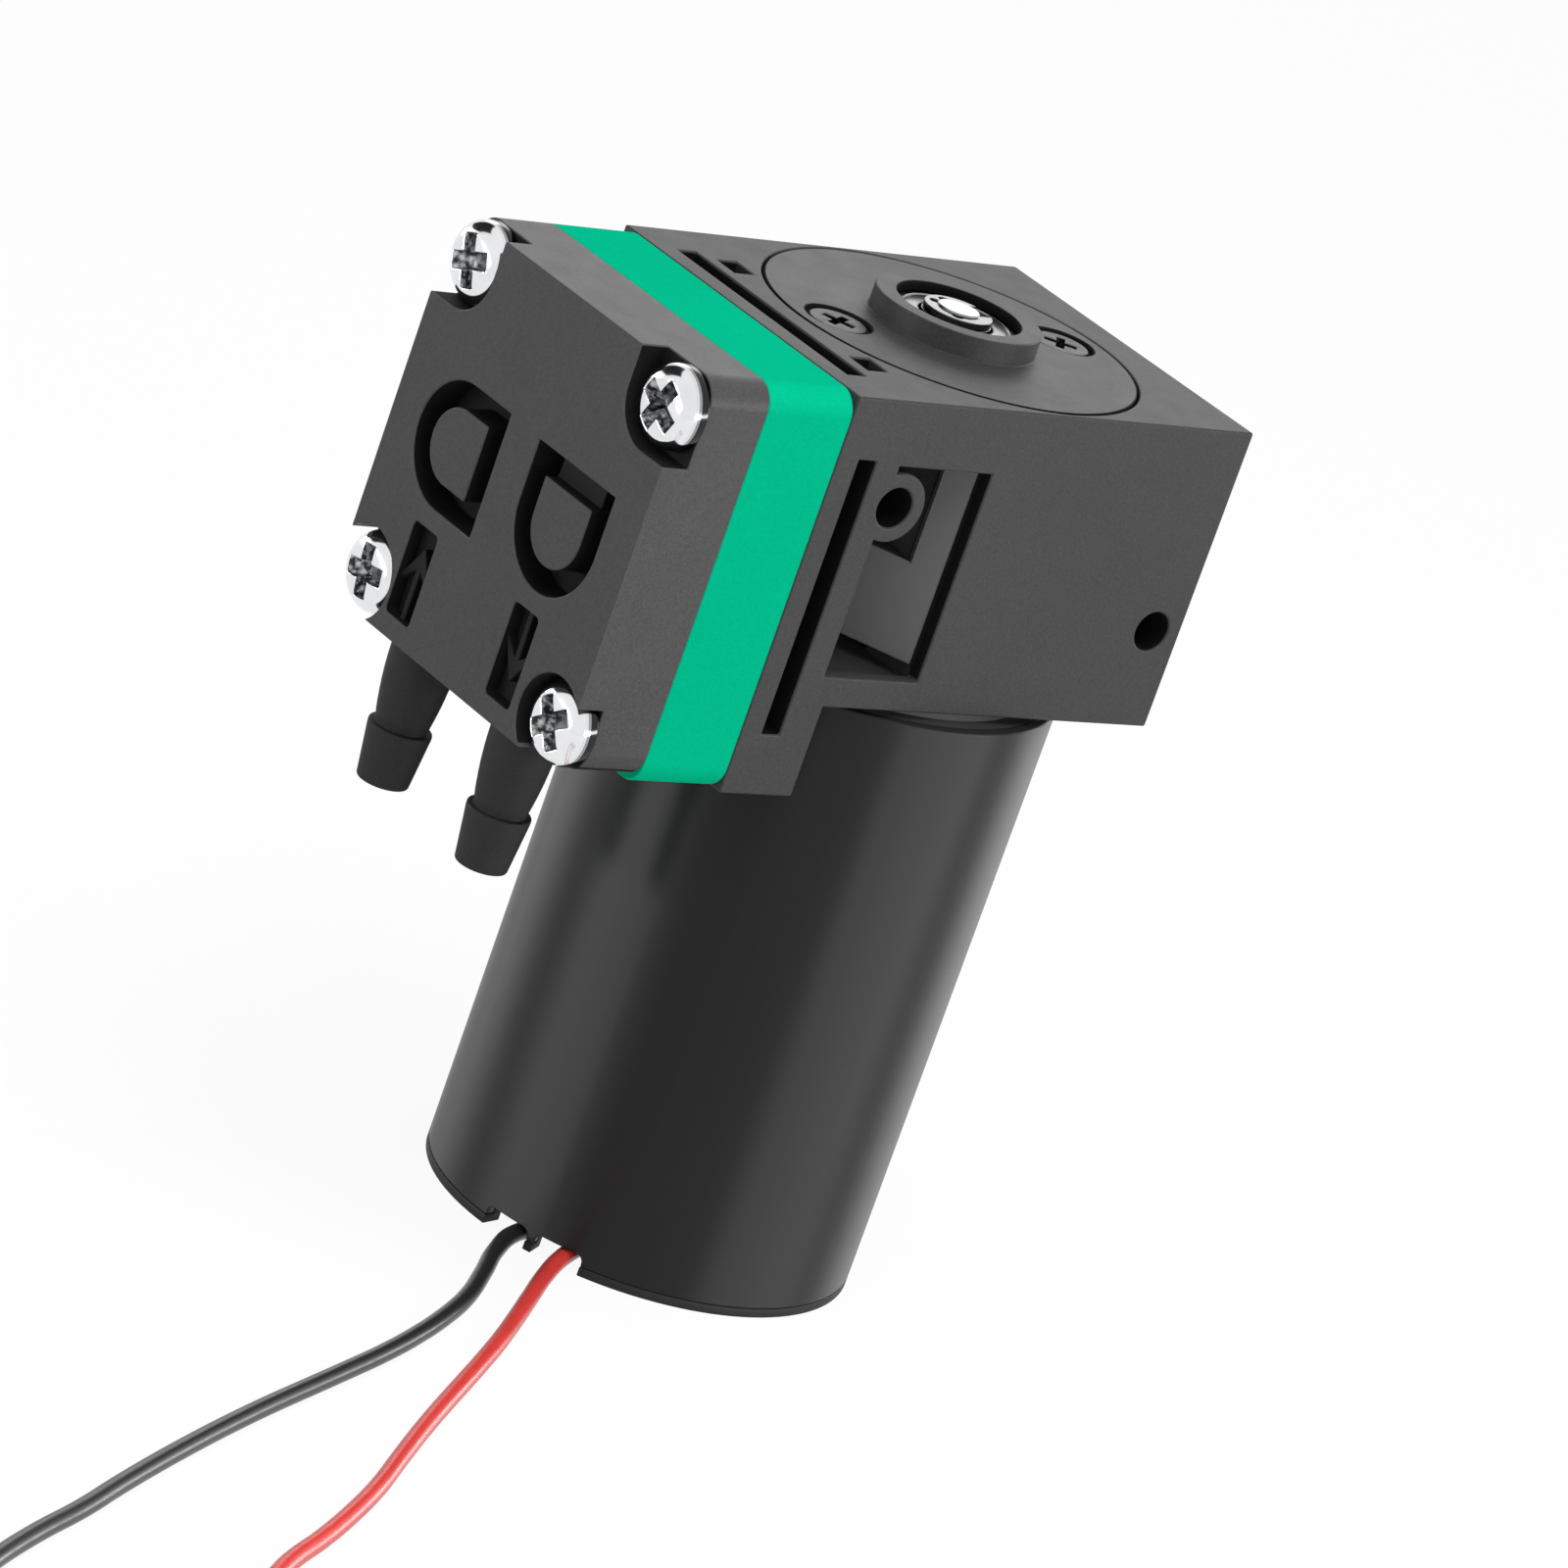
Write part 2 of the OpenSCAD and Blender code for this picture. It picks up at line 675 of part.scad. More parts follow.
// Cover plate: disc flush with the block's top, boss and bearing seat
module cover_plate() {
    color([0.2, 0.2, 0.21])
    difference() {
        union() {
            translate([0, 0, z_roof]) cylinder(d = cover_d, h = cover_t, $fn = 96);
            translate([0, 0, z_roof]) cylinder(d = boss_d, h = cover_t + boss_h);
        }
        translate([0, 0, bearing_z]) cylinder(d = bearing_d + 2 * fit, h = cover_t + boss_h);
        translate([0, 0, z_roof - over]) cylinder(d = bearing_d - 1.6, h = cover_t);
        at_cover_screws(z_roof - over) cylinder(d = cover_screw_d + 0.3, h = cover_t + 2 * over);
        at_cover_screws(z_top - cover_screw_drop) countersunk(cover_head_d + 2 * fit);
        at_cover_screws(z_top - cover_screw_drop - cover_rim_h)
            cylinder(d = cover_sink_d, h = cover_rim_h + cover_screw_drop + over);
    }
}

// Countersunk head below its top plane: a straight rim and a cone down to the shank
module countersunk(d) {
    cone_h = (cover_head_d - cover_screw_d) / 2;
    translate([0, 0, -cover_rim_h]) cylinder(d = d, h = cover_rim_h);
    translate([0, 0, -cover_rim_h - cone_h]) cylinder(d1 = d - 2 * cone_h, d2 = d, h = cone_h);
}

module cover_screws() {
    color([0.3, 0.3, 0.32])
    at_cover_screws(z_top - cover_screw_drop) difference() {
        union() {
            countersunk(cover_head_d);
            translate([0, 0, cover_screw_drop - cover_t - cover_screw_l + 0.2])
                cylinder(d = cover_screw_d, h = cover_t + cover_screw_l - 0.7);
        }
        translate([0, 0, -recess_d]) cross_recess(recess_l * 0.8, recess_w * 0.8, recess_d + over);
    }
}

// Pan head: a low dome on a straight rim
module pan_head(d, h)
    rotate_extrude() polygon(concat(
        [[0, 0], [d / 2, 0], [d / 2, h * 0.35]],
        [for (a = [15:15:90]) [d / 2 - d * 0.22 * (1 - cos(a)), h * (0.35 + 0.6 * sin(a))]],
        [[0, h]]
    ));

module head_screws() {
    color([0.85, 0.85, 0.87])
    at_head_screws(y_seat) difference() {
        union() {
            rotate([180, 0, 0]) pan_head(pan_d, pan_h);
            cylinder(d = head_screw_d, h = y_house + head_screw_bite - y_seat);
        }
        translate([0, 0, -pan_h - over]) cross_recess(recess_l, recess_w, recess_d + over);
    }
}

// Diaphragm in its pulled position: clamped rim, flexing convolution and flat centre
flex_steps = 8;
function swing(k) = (1 - cos(180 * k)) / 2;
function flex_r(k) = flex_d / 2 - 0.2 + (washer_d / 2 + 0.3 - flex_d / 2 + 0.2) * k;
flex_front = [for (i = [0:flex_steps]) [flex_r(i / flex_steps), throw * swing(i / flex_steps)]];
flex_back = [
    for (i = [flex_steps:-1:0]) [flex_r(i / flex_steps) - 0.1, throw * swing(i / flex_steps) + diaphragm_t]
];

module diaphragm() {
    color([0.1, 0.1, 0.1])
    turned_y(y_house) polygon(concat(
        [[diaphragm_d / 2, 0]], flex_front, [[piston_screw_d / 2 + fit, throw]],
        [[piston_screw_d / 2 + fit, throw + diaphragm_t]], flex_back, [[diaphragm_d / 2, diaphragm_t]]
    ));
}

module diaphragm_washer() {
    color([0.7, 0.71, 0.73])
    turned_y(y_pull - washer_t) polygon([
        [piston_screw_d / 2 + fit, washer_t], [piston_screw_d / 2 + fit, piston_cone_h + 2 * fit],
        [piston_head_r + 2 * fit, 0],
        [washer_d / 2 - 0.3, 0], [washer_d / 2, 0.3], [washer_d / 2, washer_t]
    ]);
}

module diaphragm_screw() {
    color([0.75, 0.75, 0.77])
    difference() {
        turned_y(y_pull - washer_t) polygon([
            [0, fit], [piston_head_r, fit], [piston_screw_d / 2, piston_cone_h],
            [piston_screw_d / 2, piston_screw_l], [0, piston_screw_l]
        ]);
        translate([0, y_pull - washer_t - over, z_mid]) rotate([-90, 0, 0])
            cross_recess(2, 0.5, over + 0.6);
    }
}

// Connecting rod: piston flange, I-section shank and big end round the bearing
module rod_plan() {
    translate([0, throw]) circle(d = big_end_d);
    polygon([
        [-shank_w / 2, y_flange], [shank_w / 2, y_flange],
        [shank_w / 2 + 0.6, throw - big_end_d / 2 + 1.5], [-shank_w / 2 - 0.6, throw - big_end_d / 2 + 1.5]
    ]);
}

module connecting_rod() {
    color([0.85, 0.84, 0.8])
    difference() {
        union() {
            translate([0, 0, rod_low]) linear_extrude(rod_h) rod_plan();
            translate([0, y_flange, z_mid]) rotate([-90, 0, 0]) cylinder(d = washer_d, h = flange_t);
        }
        translate([0, throw, rod_low - over])
            cylinder(d = rod_bearing_d + 2 * fit, h = bearing_high - rod_low + over);
        translate([0, throw, rod_low - over]) cylinder(d = rod_bearing_d - 2 * race_t, h = rod_h + 2 * over);
        translate([0, y_flange - over, z_mid]) rotate([-90, 0, 0])
            cylinder(d = piston_screw_d + 2 * fit, h = piston_screw_l);
        for (z = [rod_low - over, rod_high - 1])
            translate([-shank_w / 2 + 1, y_flange + flange_t + 0.6, z])
                cube([shank_w - 2, throw - big_end_d / 2 - y_flange - flange_t - 1, 1 + over]);
    }
}

// Rolling bearings: an outer ring with shields, an inner ring, and balls in a cage
module ball_set(inner, outer, z, width, count) {
    gap = (outer - inner) / 2;
    ball_d = gap - 2 * fit;
    pitch = (outer + inner) / 4;
    translate([0, 0, z + width / 2]) {
        for (i = [0:count - 1])
            rotate(i * 360 / count) translate([pitch, 0, 0]) sphere(d = ball_d, $fn = 24);
        translate([0, 0, -ball_d / 2 - 0.05]) ring(2 * pitch + 0.3, 2 * pitch - 0.3, 0.2);
    }
}

module rod_bearing_outer() {
    color([0.75, 0.76, 0.78])
    translate([0, throw, bearing_low]) ring(rod_bearing_d, rod_bearing_d - 2 * race_t, rod_bearing_w);
}

module rod_bearing_inner() {
    color([0.75, 0.76, 0.78])
    translate([0, throw, bearing_low]) ring(journal_d + 2 * race_t, journal_d + 2 * fit, rod_bearing_w);
}

module rod_bearing_balls() {
    color([0.85, 0.86, 0.88])
    translate([0, throw, 0])
        ball_set(journal_d + 2 * race_t, rod_bearing_d - 2 * race_t, bearing_low, rod_bearing_w, 12);
}

inner_ring_d = shaft_d + 1.5;
outer_ring_bore = bearing_d - 1.2;
shield_t = 0.2;

module top_bearing_outer() {
    color([0.8, 0.8, 0.82])
    translate([0, 0, bearing_z]) {
        ring(bearing_d, outer_ring_bore, bearing_w);
        for (z = [0.1, bearing_w - shield_t - 0.1])
            translate([0, 0, z]) ring(outer_ring_bore + 0.1, inner_ring_d + 0.3, shield_t);
    }
}

module top_bearing_inner() {
    color([0.85, 0.85, 0.87])
    translate([0, 0, bearing_z]) ring(inner_ring_d, shaft_d + 2 * fit, bearing_w);
}

module top_bearing_balls() {
    color([0.85, 0.86, 0.88])
    ball_set(inner_ring_d, outer_ring_bore, bearing_z, bearing_w, 7);
}

// Crank on the shaft: journal, shoulder, counterweight and hub, with a flanged spacer below
module eccentric() {
    color([0.72, 0.6, 0.35])
    difference() {
        union() {
            translate([0, throw, bearing_low]) cylinder(d = journal_d, h = rod_bearing_w);
            translate([0, throw, bearing_high]) cylinder(d = shoulder_d, h = counter_low - bearing_high);
            translate([0, 0, counter_low]) intersection() {
                cylinder(r = counter_r, h = counter_h);
                translate([-counter_r, -counter_r, 0]) cube([2 * counter_r, counter_r + 2, counter_h]);
            }
            translate([0, 0, counter_low]) cylinder(d = hub_d, h = bearing_z - counter_low - clip_gap);
        }
        translate([0, 0, bearing_low - over]) cylinder(d = shaft_d + 2 * fit, h = block_h);
    }
}

module eccentric_spacer() {
    color([0.7, 0.71, 0.73])
    difference() {
        union() {
            translate([0, 0, z_floor + 0.6]) cylinder(d = hub_d, h = bearing_low - z_floor - 0.6);
            translate([0, 0, bearing_low - 0.9]) cylinder(d = shoulder_d - 0.2, h = 0.9);
        }
        translate([0, 0, z_block]) cylinder(d = shaft_d + 2 * fit, h = block_h);
    }
}

module shaft() {
    color([0.78, 0.78, 0.8])
    difference() {
        union() {
            translate([0, 0, shaft_low]) cylinder(d = shaft_d, h = shaft_top - shaft_low - 0.2);
            translate([0, 0, shaft_top - 0.2]) cylinder(d1 = shaft_d, d2 = shaft_d - 0.4, h = 0.2);
        }
        translate([0, 0, bearing_top + clip_gap]) ring(shaft_d + 2 * over, shaft_d - 0.7, clip_t + 2 * fit);
    }
}

module shaft_clip() {
    color([0.85, 0.85, 0.87])
    translate([0, 0, bearing_top + clip_gap + fit]) linear_extrude(clip_t) difference() {
        circle(d = clip_d);
        circle(d = shaft_d - 0.7 + 2 * fit);
        translate([-0.8, 0]) square([1.6, clip_d]);
        for (a = [-40, 180, 220]) rotate(a) translate([shaft_d / 2 + 0.05, 0]) circle(d = 0.7, $fn = 24);
    }
}

// Motor: tube, end cap with lead notches, flange, bushings and magnets
module lead_notches()
    for (arc = bite_arcs)
        rotate(arc / motor_r * 180 / PI) along_y(-motor_r - over, bite_round - clamp_r) {
            translate([-bite_w / 2, -over]) square([bite_w, bite_h - bite_round + over]);
            translate([bite_round - bite_w / 2, -over]) square([bite_w - 2 * bite_round, bite_h + over]);
            for (x = [-1, 1])
                translate([x * (bite_w / 2 - bite_round), bite_h - bite_round]) circle(bite_round, $fn = 32);
        }

module motor_case() {
    color([0.13, 0.13, 0.14])
    difference() {
        translate([0, 0, ring_h]) ring(motor_d, 2 * inner_r, z_rim - ring_h, $fn = 96);
        lead_notches();
    }
}

module motor_flange() {
    color([0.6, 0.61, 0.63])
    difference() {
        union() {
            translate([0, 0, flange_low]) cylinder(r = inner_r - fit, h = z_rim - flange_low);
            translate([0, 0, z_rim - over]) cylinder(r = inner_r - rim_step, h = rim_gap + over);
            translate([0, 0, z_rim]) cylinder(d = spigot_d, h = rim_gap + floor_t);
        }
        translate([0, 0, flange_low - over]) cylinder(d = bushing_d + 2 * fit, h = z_block);
        for (x = [-motor_screw_x, motor_screw_x])
            translate([x, 0, z_floor - motor_screw_l - 0.2])
                cylinder(d = motor_screw_d + 2 * fit, h = z_block);
    }
}

module motor_screws() {
    color([0.7, 0.7, 0.72])
    for (x = [-motor_screw_x, motor_screw_x]) translate([x, 0, z_floor]) difference() {
        union() {
            pan_head(motor_screw_head_d, motor_screw_head_h);
            translate([0, 0, -motor_screw_l]) cylinder(d = motor_screw_d, h = motor_screw_l);
        }
        translate([0, 0, motor_screw_head_h - 0.7]) cross_recess(2, 0.5, 0.7 + over);
    }
}

module front_bushing() {
    color([0.72, 0.58, 0.36])
    translate([0, 0, flange_low]) ring(bushing_d, shaft_d + 2 * run, z_floor + bushing_rise - flange_low);
}

module rear_bushing() {
    color([0.72, 0.58, 0.36])
    translate([0, 0, rear_bushing_low])
        ring(bushing_d, shaft_d + 2 * run, cap_hub_high - bushing_rise - rear_bushing_low);
}

module end_cap() {
    color([0.12, 0.12, 0.13])
    difference() {
        union() {
            translate([0, 0, cap_low]) cylinder(r = inner_r - fit, h = cap_high - cap_low);
            ring(motor_d, 2 * cap_wall_r, ring_h);
            ring(2 * inner_r - 2 * fit, 2 * cap_wall_r, cap_low + over);
            translate([0, 0, cap_hub_low])
                cylinder(d = bushing_d + 2 * cap_hub_t, h = cap_hub_high - cap_hub_low);
            intersection() {
                translate([0, 0, clamp_low]) ring(2 * clamp_r, 2 * (clamp_r - clamp_l), cap_low);
                rotate(clamp_turn) translate([0, -clamp_r - over, 0])
                    cube([clamp_w, clamp_r + over, cap_high]);
            }
        }
        translate([0, 0, rear_bushing_low]) cylinder(d = bushing_d + 2 * fit, h = cap_hub_high);
        translate([0, 0, -over]) cylinder(d = shaft_d + cap_hub_t, h = cap_high);
        lead_notches();
    }
}

module magnets() {
    color([0.3, 0.3, 0.32])
    for (s = [0, 180]) rotate(s) translate([0, 0, magnet_low]) linear_extrude(magnet_l) difference() {
        circle(r = inner_r - fit);
        circle(r = inner_r - magnet_t);
        translate([-motor_d, -motor_d]) square([2 * motor_d, motor_d + magnet_edge]);
    }
}

// Armature: three poles, a coil on each, and the commutator with its brushes
module armature_core() {
    color([0.5, 0.5, 0.52])
    translate([0, 0, core_low]) linear_extrude(core_l) difference() {
        union() {
            circle(hub_r);
            for (a = [0, 120, 240]) rotate(a) translate([0, -pole_w / 2])
                square([armature_d / 2 - shoe_t / 2, pole_w]);
            difference() {
                circle(d = armature_d);
                circle(d = armature_d - 2 * shoe_t);
                for (a = [60, 180, 300]) rotate(a) translate([0, -pole_gap / 2])
                    square([armature_d, pole_gap]);
            }
        }
        circle(d = shaft_d + 2 * fit);
    }
}

module armature_coils() {
    color([0.7, 0.35, 0.15])
    for (a = [0, 120, 240]) rotate(a) difference() {
        translate([hub_r + armature_gap, -pole_w / 2 - winding_w, core_low - winding_end])
            cube([
                armature_d / 2 - shoe_t - hub_r - armature_gap - 1.2,
                pole_w + 2 * winding_w, core_l + 2 * winding_end
            ]);
        translate([hub_r, -pole_w / 2 - fit, core_low - fit])
            cube([armature_d / 2, pole_w + 2 * fit, core_l + 2 * fit]);
    }
}

module commutator() {
    color([0.75, 0.45, 0.2])
    translate([0, 0, commutator_low]) linear_extrude(commutator_h) difference() {
        circle(d = commutator_d);
        circle(d = shaft_d + 2 * fit);
        for (a = [0, 120, 240]) rotate(a) translate([commutator_d / 2 - 0.5, -0.2]) square([over, 0.4]);
    }
}

module brushes() {
    color([0.25, 0.25, 0.26])
    both_sides()
        translate([commutator_d / 2 + run, -brush_w / 2, commutator_low + (commutator_h - brush_h) / 2])
            cube([brush_l, brush_w, brush_h]);
}

module brush_arms() {
    color([0.8, 0.6, 0.35])
    both_sides() translate([commutator_d / 2 + run + brush_l, -brush_w / 2, cap_high])
        cube([arm_t, brush_w, commutator_low + (commutator_h + brush_h) / 2 - cap_high]);
}

// Leads: a smooth line through the route's points, swept as an eight-sided tube
function on_curve(a, b, c, d, t) =
    0.5 * (2 * b + (c - a) * t + (2 * a - 5 * b + 4 * c - d) * t * t + (3 * b - a - 3 * c + d) * t * t * t);

function smooth_route(route, steps) = let (last = len(route) - 1) concat(
    [for (i = [0:last - 1], s = [0:steps - 1])
        on_curve(route[max(i - 1, 0)], route[i], route[i + 1], route[min(i + 2, last)], s / steps)],
    [route[last]]
);

function heading(line, i) = let (
    ahead = line[min(i + 1, len(line) - 1)] - line[max(i - 1, 0)]
) ahead / norm(ahead);

module lead_tube(route) {
    line = smooth_route(route, 2);
    sides = 8;
    points = [for (i = [0:len(line) - 1], k = [0:sides - 1]) let (
        u = heading(line, i),
        across = lead_d / 2 * cos(k * 360 / sides)
    ) [line[i][0] - u[1] * across, line[i][1] + u[0] * across, lead_z + lead_d / 2 * sin(k * 360 / sides)]];
    walls = [for (i = [0:len(line) - 2], k = [0:sides - 1]) let (n = (k + 1) % sides)
        [i * sides + k, i * sides + n, (i + 1) * sides + n, (i + 1) * sides + k]];
    ends = [
        [for (k = [sides - 1:-1:0]) k],
        [for (k = [0:sides - 1]) (len(line) - 1) * sides + k]
    ];
    polyhedron(points, concat(walls, ends));
}

// Flat coil as one ring, with the straight ends of the lead that meet its first and last turn
function coil_end(at, turns) = let (
    a = coil_start + 360 * turns,
    r = coil_r - turns * (lead_d + turn_gap)
) [at[0] + r * cos(a), at[1] + r * sin(a)];

module straight_lead(from, turn, d, start, l)
    translate([from[0], from[1], lead_z]) rotate(turn) rotate([0, 90, 0])
        translate([0, 0, start]) cylinder(d = d, h = l);

module coil(at, turns) {
    translate([at[0], at[1], lead_z - lead_d / 2])
        ring(2 * coil_r + lead_d, 2 * (coil_r - turns * (lead_d + turn_gap)) - lead_d, lead_d);
    straight_lead(coil_end(at, 0), coil_start + 90, lead_d, -stub_l, stub_l);
    straight_lead(coil_end(at, turns), end_turn(turns), lead_d, 0, end_stub_l);
}

function end_turn(turns) = coil_start + 360 * turns + 90 + end_stub_turn;

module lead_tip(at, turns) straight_lead(coil_end(at, turns), end_turn(turns), tip_d, end_stub_l, tip_l);

module black_lead() color([0.1, 0.1, 0.1]) lead_tube(black_route);

module red_lead() color([0.85, 0.25, 0.22]) lead_tube(red_route);

module black_coil() color([0.1, 0.1, 0.1]) coil(black_coil_at, black_turns);

module red_coil() color([0.85, 0.25, 0.22]) coil(red_coil_at, red_turns);

module lead_tips() {
    color([0.8, 0.8, 0.82]) {
        lead_tip(black_coil_at, black_turns);
        lead_tip(red_coil_at, red_turns);
    }
}

housing();
head_cover();
middle_plate();
cover_plate();
head_screws();
cover_screws();
valve_sheet();
inlet_flap();
outlet_flap();
diaphragm();
diaphragm_washer();
diaphragm_screw();
connecting_rod();
rod_bearing_outer();
rod_bearing_inner();
rod_bearing_balls();
eccentric();
eccentric_spacer();
shaft();
shaft_clip();
top_bearing_outer();
top_bearing_inner();
top_bearing_balls();
motor_case();
motor_flange();
motor_screws();
front_bushing();
rear_bushing();
end_cap();
magnets();
armature_core();
armature_coils();
commutator();
brushes();
brush_arms();
black_lead();
red_lead();
black_coil();
red_coil();
lead_tips();
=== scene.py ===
"""Looks of a small diaphragm pump on a round motor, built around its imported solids."""

import json
import math

import bmesh
import bpy
from bpy.props import FloatProperty, FloatVectorProperty, IntProperty, PointerProperty
from mathutils import Matrix, Vector

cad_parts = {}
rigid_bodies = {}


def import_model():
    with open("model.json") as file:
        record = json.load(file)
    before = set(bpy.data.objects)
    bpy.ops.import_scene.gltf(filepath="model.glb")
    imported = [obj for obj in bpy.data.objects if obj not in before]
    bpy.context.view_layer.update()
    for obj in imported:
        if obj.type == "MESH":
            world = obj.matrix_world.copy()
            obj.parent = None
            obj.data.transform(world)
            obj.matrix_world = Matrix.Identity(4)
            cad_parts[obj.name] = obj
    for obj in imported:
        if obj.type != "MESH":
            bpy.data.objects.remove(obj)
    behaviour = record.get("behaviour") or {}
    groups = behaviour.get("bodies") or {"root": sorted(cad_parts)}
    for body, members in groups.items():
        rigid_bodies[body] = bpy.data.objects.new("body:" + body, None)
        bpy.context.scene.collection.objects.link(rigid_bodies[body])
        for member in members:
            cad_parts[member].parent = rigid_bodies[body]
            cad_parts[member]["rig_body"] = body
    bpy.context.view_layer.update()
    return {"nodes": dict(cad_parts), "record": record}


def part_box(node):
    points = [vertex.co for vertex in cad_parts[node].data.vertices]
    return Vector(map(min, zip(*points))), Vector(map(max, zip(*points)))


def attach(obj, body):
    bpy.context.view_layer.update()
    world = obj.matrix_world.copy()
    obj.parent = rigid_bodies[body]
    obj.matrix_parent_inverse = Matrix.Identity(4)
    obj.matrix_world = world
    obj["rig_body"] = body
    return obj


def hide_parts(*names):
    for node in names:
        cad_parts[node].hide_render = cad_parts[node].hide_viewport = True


bl_info = {
    "name": "Diaphragm pump",
    "version": (1, 0, 0),
    "blender": (4, 5, 0),
    "location": "View3D > Sidebar > Pump",
    "description": "Pieces, finishes and studio of a small diaphragm pump",
    "category": "Object",
}

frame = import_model()
NODES = frame["nodes"]
MM = 0.001

# Camera: place, and the directions of the picture's right side, its bottom and its depth
CAMERA_AT = (0.351905, -0.328243, 0.193655)
CAMERA_RIGHT = (0.56229, 0.76283, 0.31924)
CAMERA_DOWN = (0.45171, 0.04003, -0.89127)
CAMERA_LENS = 188.25

# Leads: routes on the floor in millimetres, then a flat coil; the same points as in the solids
LEAD_Z = 0.6
LEAD_PITCH = 1.25
COIL_R = 7.5
COIL_START = 216.87
COIL_STEP = 18
BLACK_ROUTE = (
    (3.6, -10.4), (4.5, -13.2), (6.7, -16.2), (9.5, -19.1), (12.4, -22.3), (14.9, -25.8),
    (17.1, -29.4), (19.1, -33.1), (21, -37), (22.9, -41), (24.8, -45), (26.8, -49), (28.9, -53),
    (31.1, -57), (33.4, -61), (35.8, -65), (38.5, -70), (41.4, -74.7), (43.2, -77.1), (45, -79.5),
)
RED_ROUTE = (
    (6.1, -9.2), (7.7, -11.8), (9.9, -14.6), (12.4, -17.4), (15, -20.3), (17.7, -23.4),
    (20.4, -26.7), (23.1, -30.1), (25.8, -33.5), (28.5, -36.8), (31.3, -40.1), (34.2, -43.5),
    (37, -47.2), (39.6, -51), (41.9, -54.7), (43.7, -57.1), (45.5, -59.5),
)
BLACK_COIL_AT = (54, -79)
RED_COIL_AT = (54.5, -59)
COIL_END_TURN = 55
COIL_END_L = 2.2
BLACK_TURNS = 1.5
RED_TURNS = 1.9

# Screws: places in millimetres and the turn of each cross recess in degrees
HEAD_SCREWS = ((-10.25, 58.45, 20), (10.25, 58.45, 62), (-10.25, 37.95, 8), (10.25, 37.95, 35))
HEAD_SCREW_SEAT = -27.5
COVER_SCREWS = ((0, -9, 28), (0, 9, 50))
COVER_SCREW_TOP = 60.88

# Cover plate in millimetres: its radius, and the widths of its rim, screw sinks and bearing bore,
# which all get painted shade
COVER_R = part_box("cover_plate")[1][0] / MM
COVER_RIM = 0.12
COVER_SINK_R = 2.3
COVER_BORE_R = 4.1

# Pitch of the rings that turning leaves on the cover plate
RING_PITCH = 0.16 * MM

# Head cover's face, and its underside, where the barbs begin
HEAD_FACE = -29.5
HEAD_UNDERSIDE = 35.45

# Where the head cover's grooves, pockets and notches lie, which get painted shade, and how much
# painted shade its barbs get
RECESS_HALF_WIDTH = 12.1
RECESS_Y = (HEAD_FACE + 0.2, HEAD_FACE + 5)
RECESS_Z = (HEAD_UNDERSIDE + 0.3, HEAD_UNDERSIDE + 25)
BARB_SHADE = 0.72

# Head cover's D grooves in millimetres: middle and straight side (0 for +X, 1 for +Z), height,
# radii, and how far the straight side lies inside the round
GROOVES = ((-5.65, 0), (5.45, 1))
GROOVE_Z = 48.25
GROOVE_RADII = (4.05, 2.45)
GROOVE_FLAT = 0.15
GROOVE_DEPTH = 3

# Top bearing in millimetres: its bright shield's radii, the reach of the shield's mark, which also
# paints shade into the grooves inside and outside the shield, and how far the clip is darkened
# towards those tones
SHIELD_RADII = (2.52, 3.2)
SHIELD_REACH = 3.38
CLIP_SHADE = 0.6

# How much narrower a cross recess is at its bottom: along its arms, and across them
RECESS_TAPER = (0.42, 0.75)

# Studio: the point that the lamps face, and the dark card's middle, direction and distance
LAMPS_FACE = (0, -0.005, 0.03)
CARD_FACES = (0, -0.03, 0.05)
CARD_DIRECTION = (-0.78, -0.21, 0.59)
CARD_DISTANCE = 0.5
CARD_HALF_SIZE = 0.22

# Housing: lowest and highest corners of the slots, pockets, holes and window jamb on its right
# side, which get painted shade on both sides
CAVITIES = (
    ((9.0, -15.1, 38.8), (12.35, -13.55, 57.2)),
    ((4.4, -12.42, 52.84), (12.35, -9.8, 55.46)),
    ((4.4, 11.38, 46.08), (12.35, 14.02, 48.72)),
    ((-0.1, -15.1, 58.8), (9.1, -13.55, 60.85)),
    ((6.0, -12.8, 58.0), (8.1, -11.2, 60.85)),
    ((11.45, -4.62, 43.1), (12.35, -4.38, 56.75)),
)


class PumpSizes(bpy.types.PropertyGroup):
    """Small sizes that only the looks use."""

    edge_radius: FloatProperty(
        name="Moulded edge",
        description="Radius of the rounded edges on moulded plastic",
        default=0.14 * MM,
        unit="LENGTH",
    )
    fine_radius: FloatProperty(
        name="Fine edge",
        description="Radius of the rounded edges on turned and small parts",
        default=0.05 * MM,
        unit="LENGTH",
    )
    pan_width: FloatProperty(
        name="Pan head", description="Diameter of the pan heads", default=5.15 * MM, unit="LENGTH"
    )
    pan_height: FloatProperty(
        name="Pan height", description="Height of the pan heads", default=1.88 * MM, unit="LENGTH"
    )
    lead_width: FloatProperty(
        name="Lead", description="Diameter of the leads", default=1.15 * MM, unit="LENGTH"
    )
    strand_width: FloatProperty(
        name="Strand", description="Diameter of a wire strand", default=0.22 * MM, unit="LENGTH"
    )
    strands: IntProperty(
        name="Strands", description="Strands round the middle one in a lead", default=6
    )


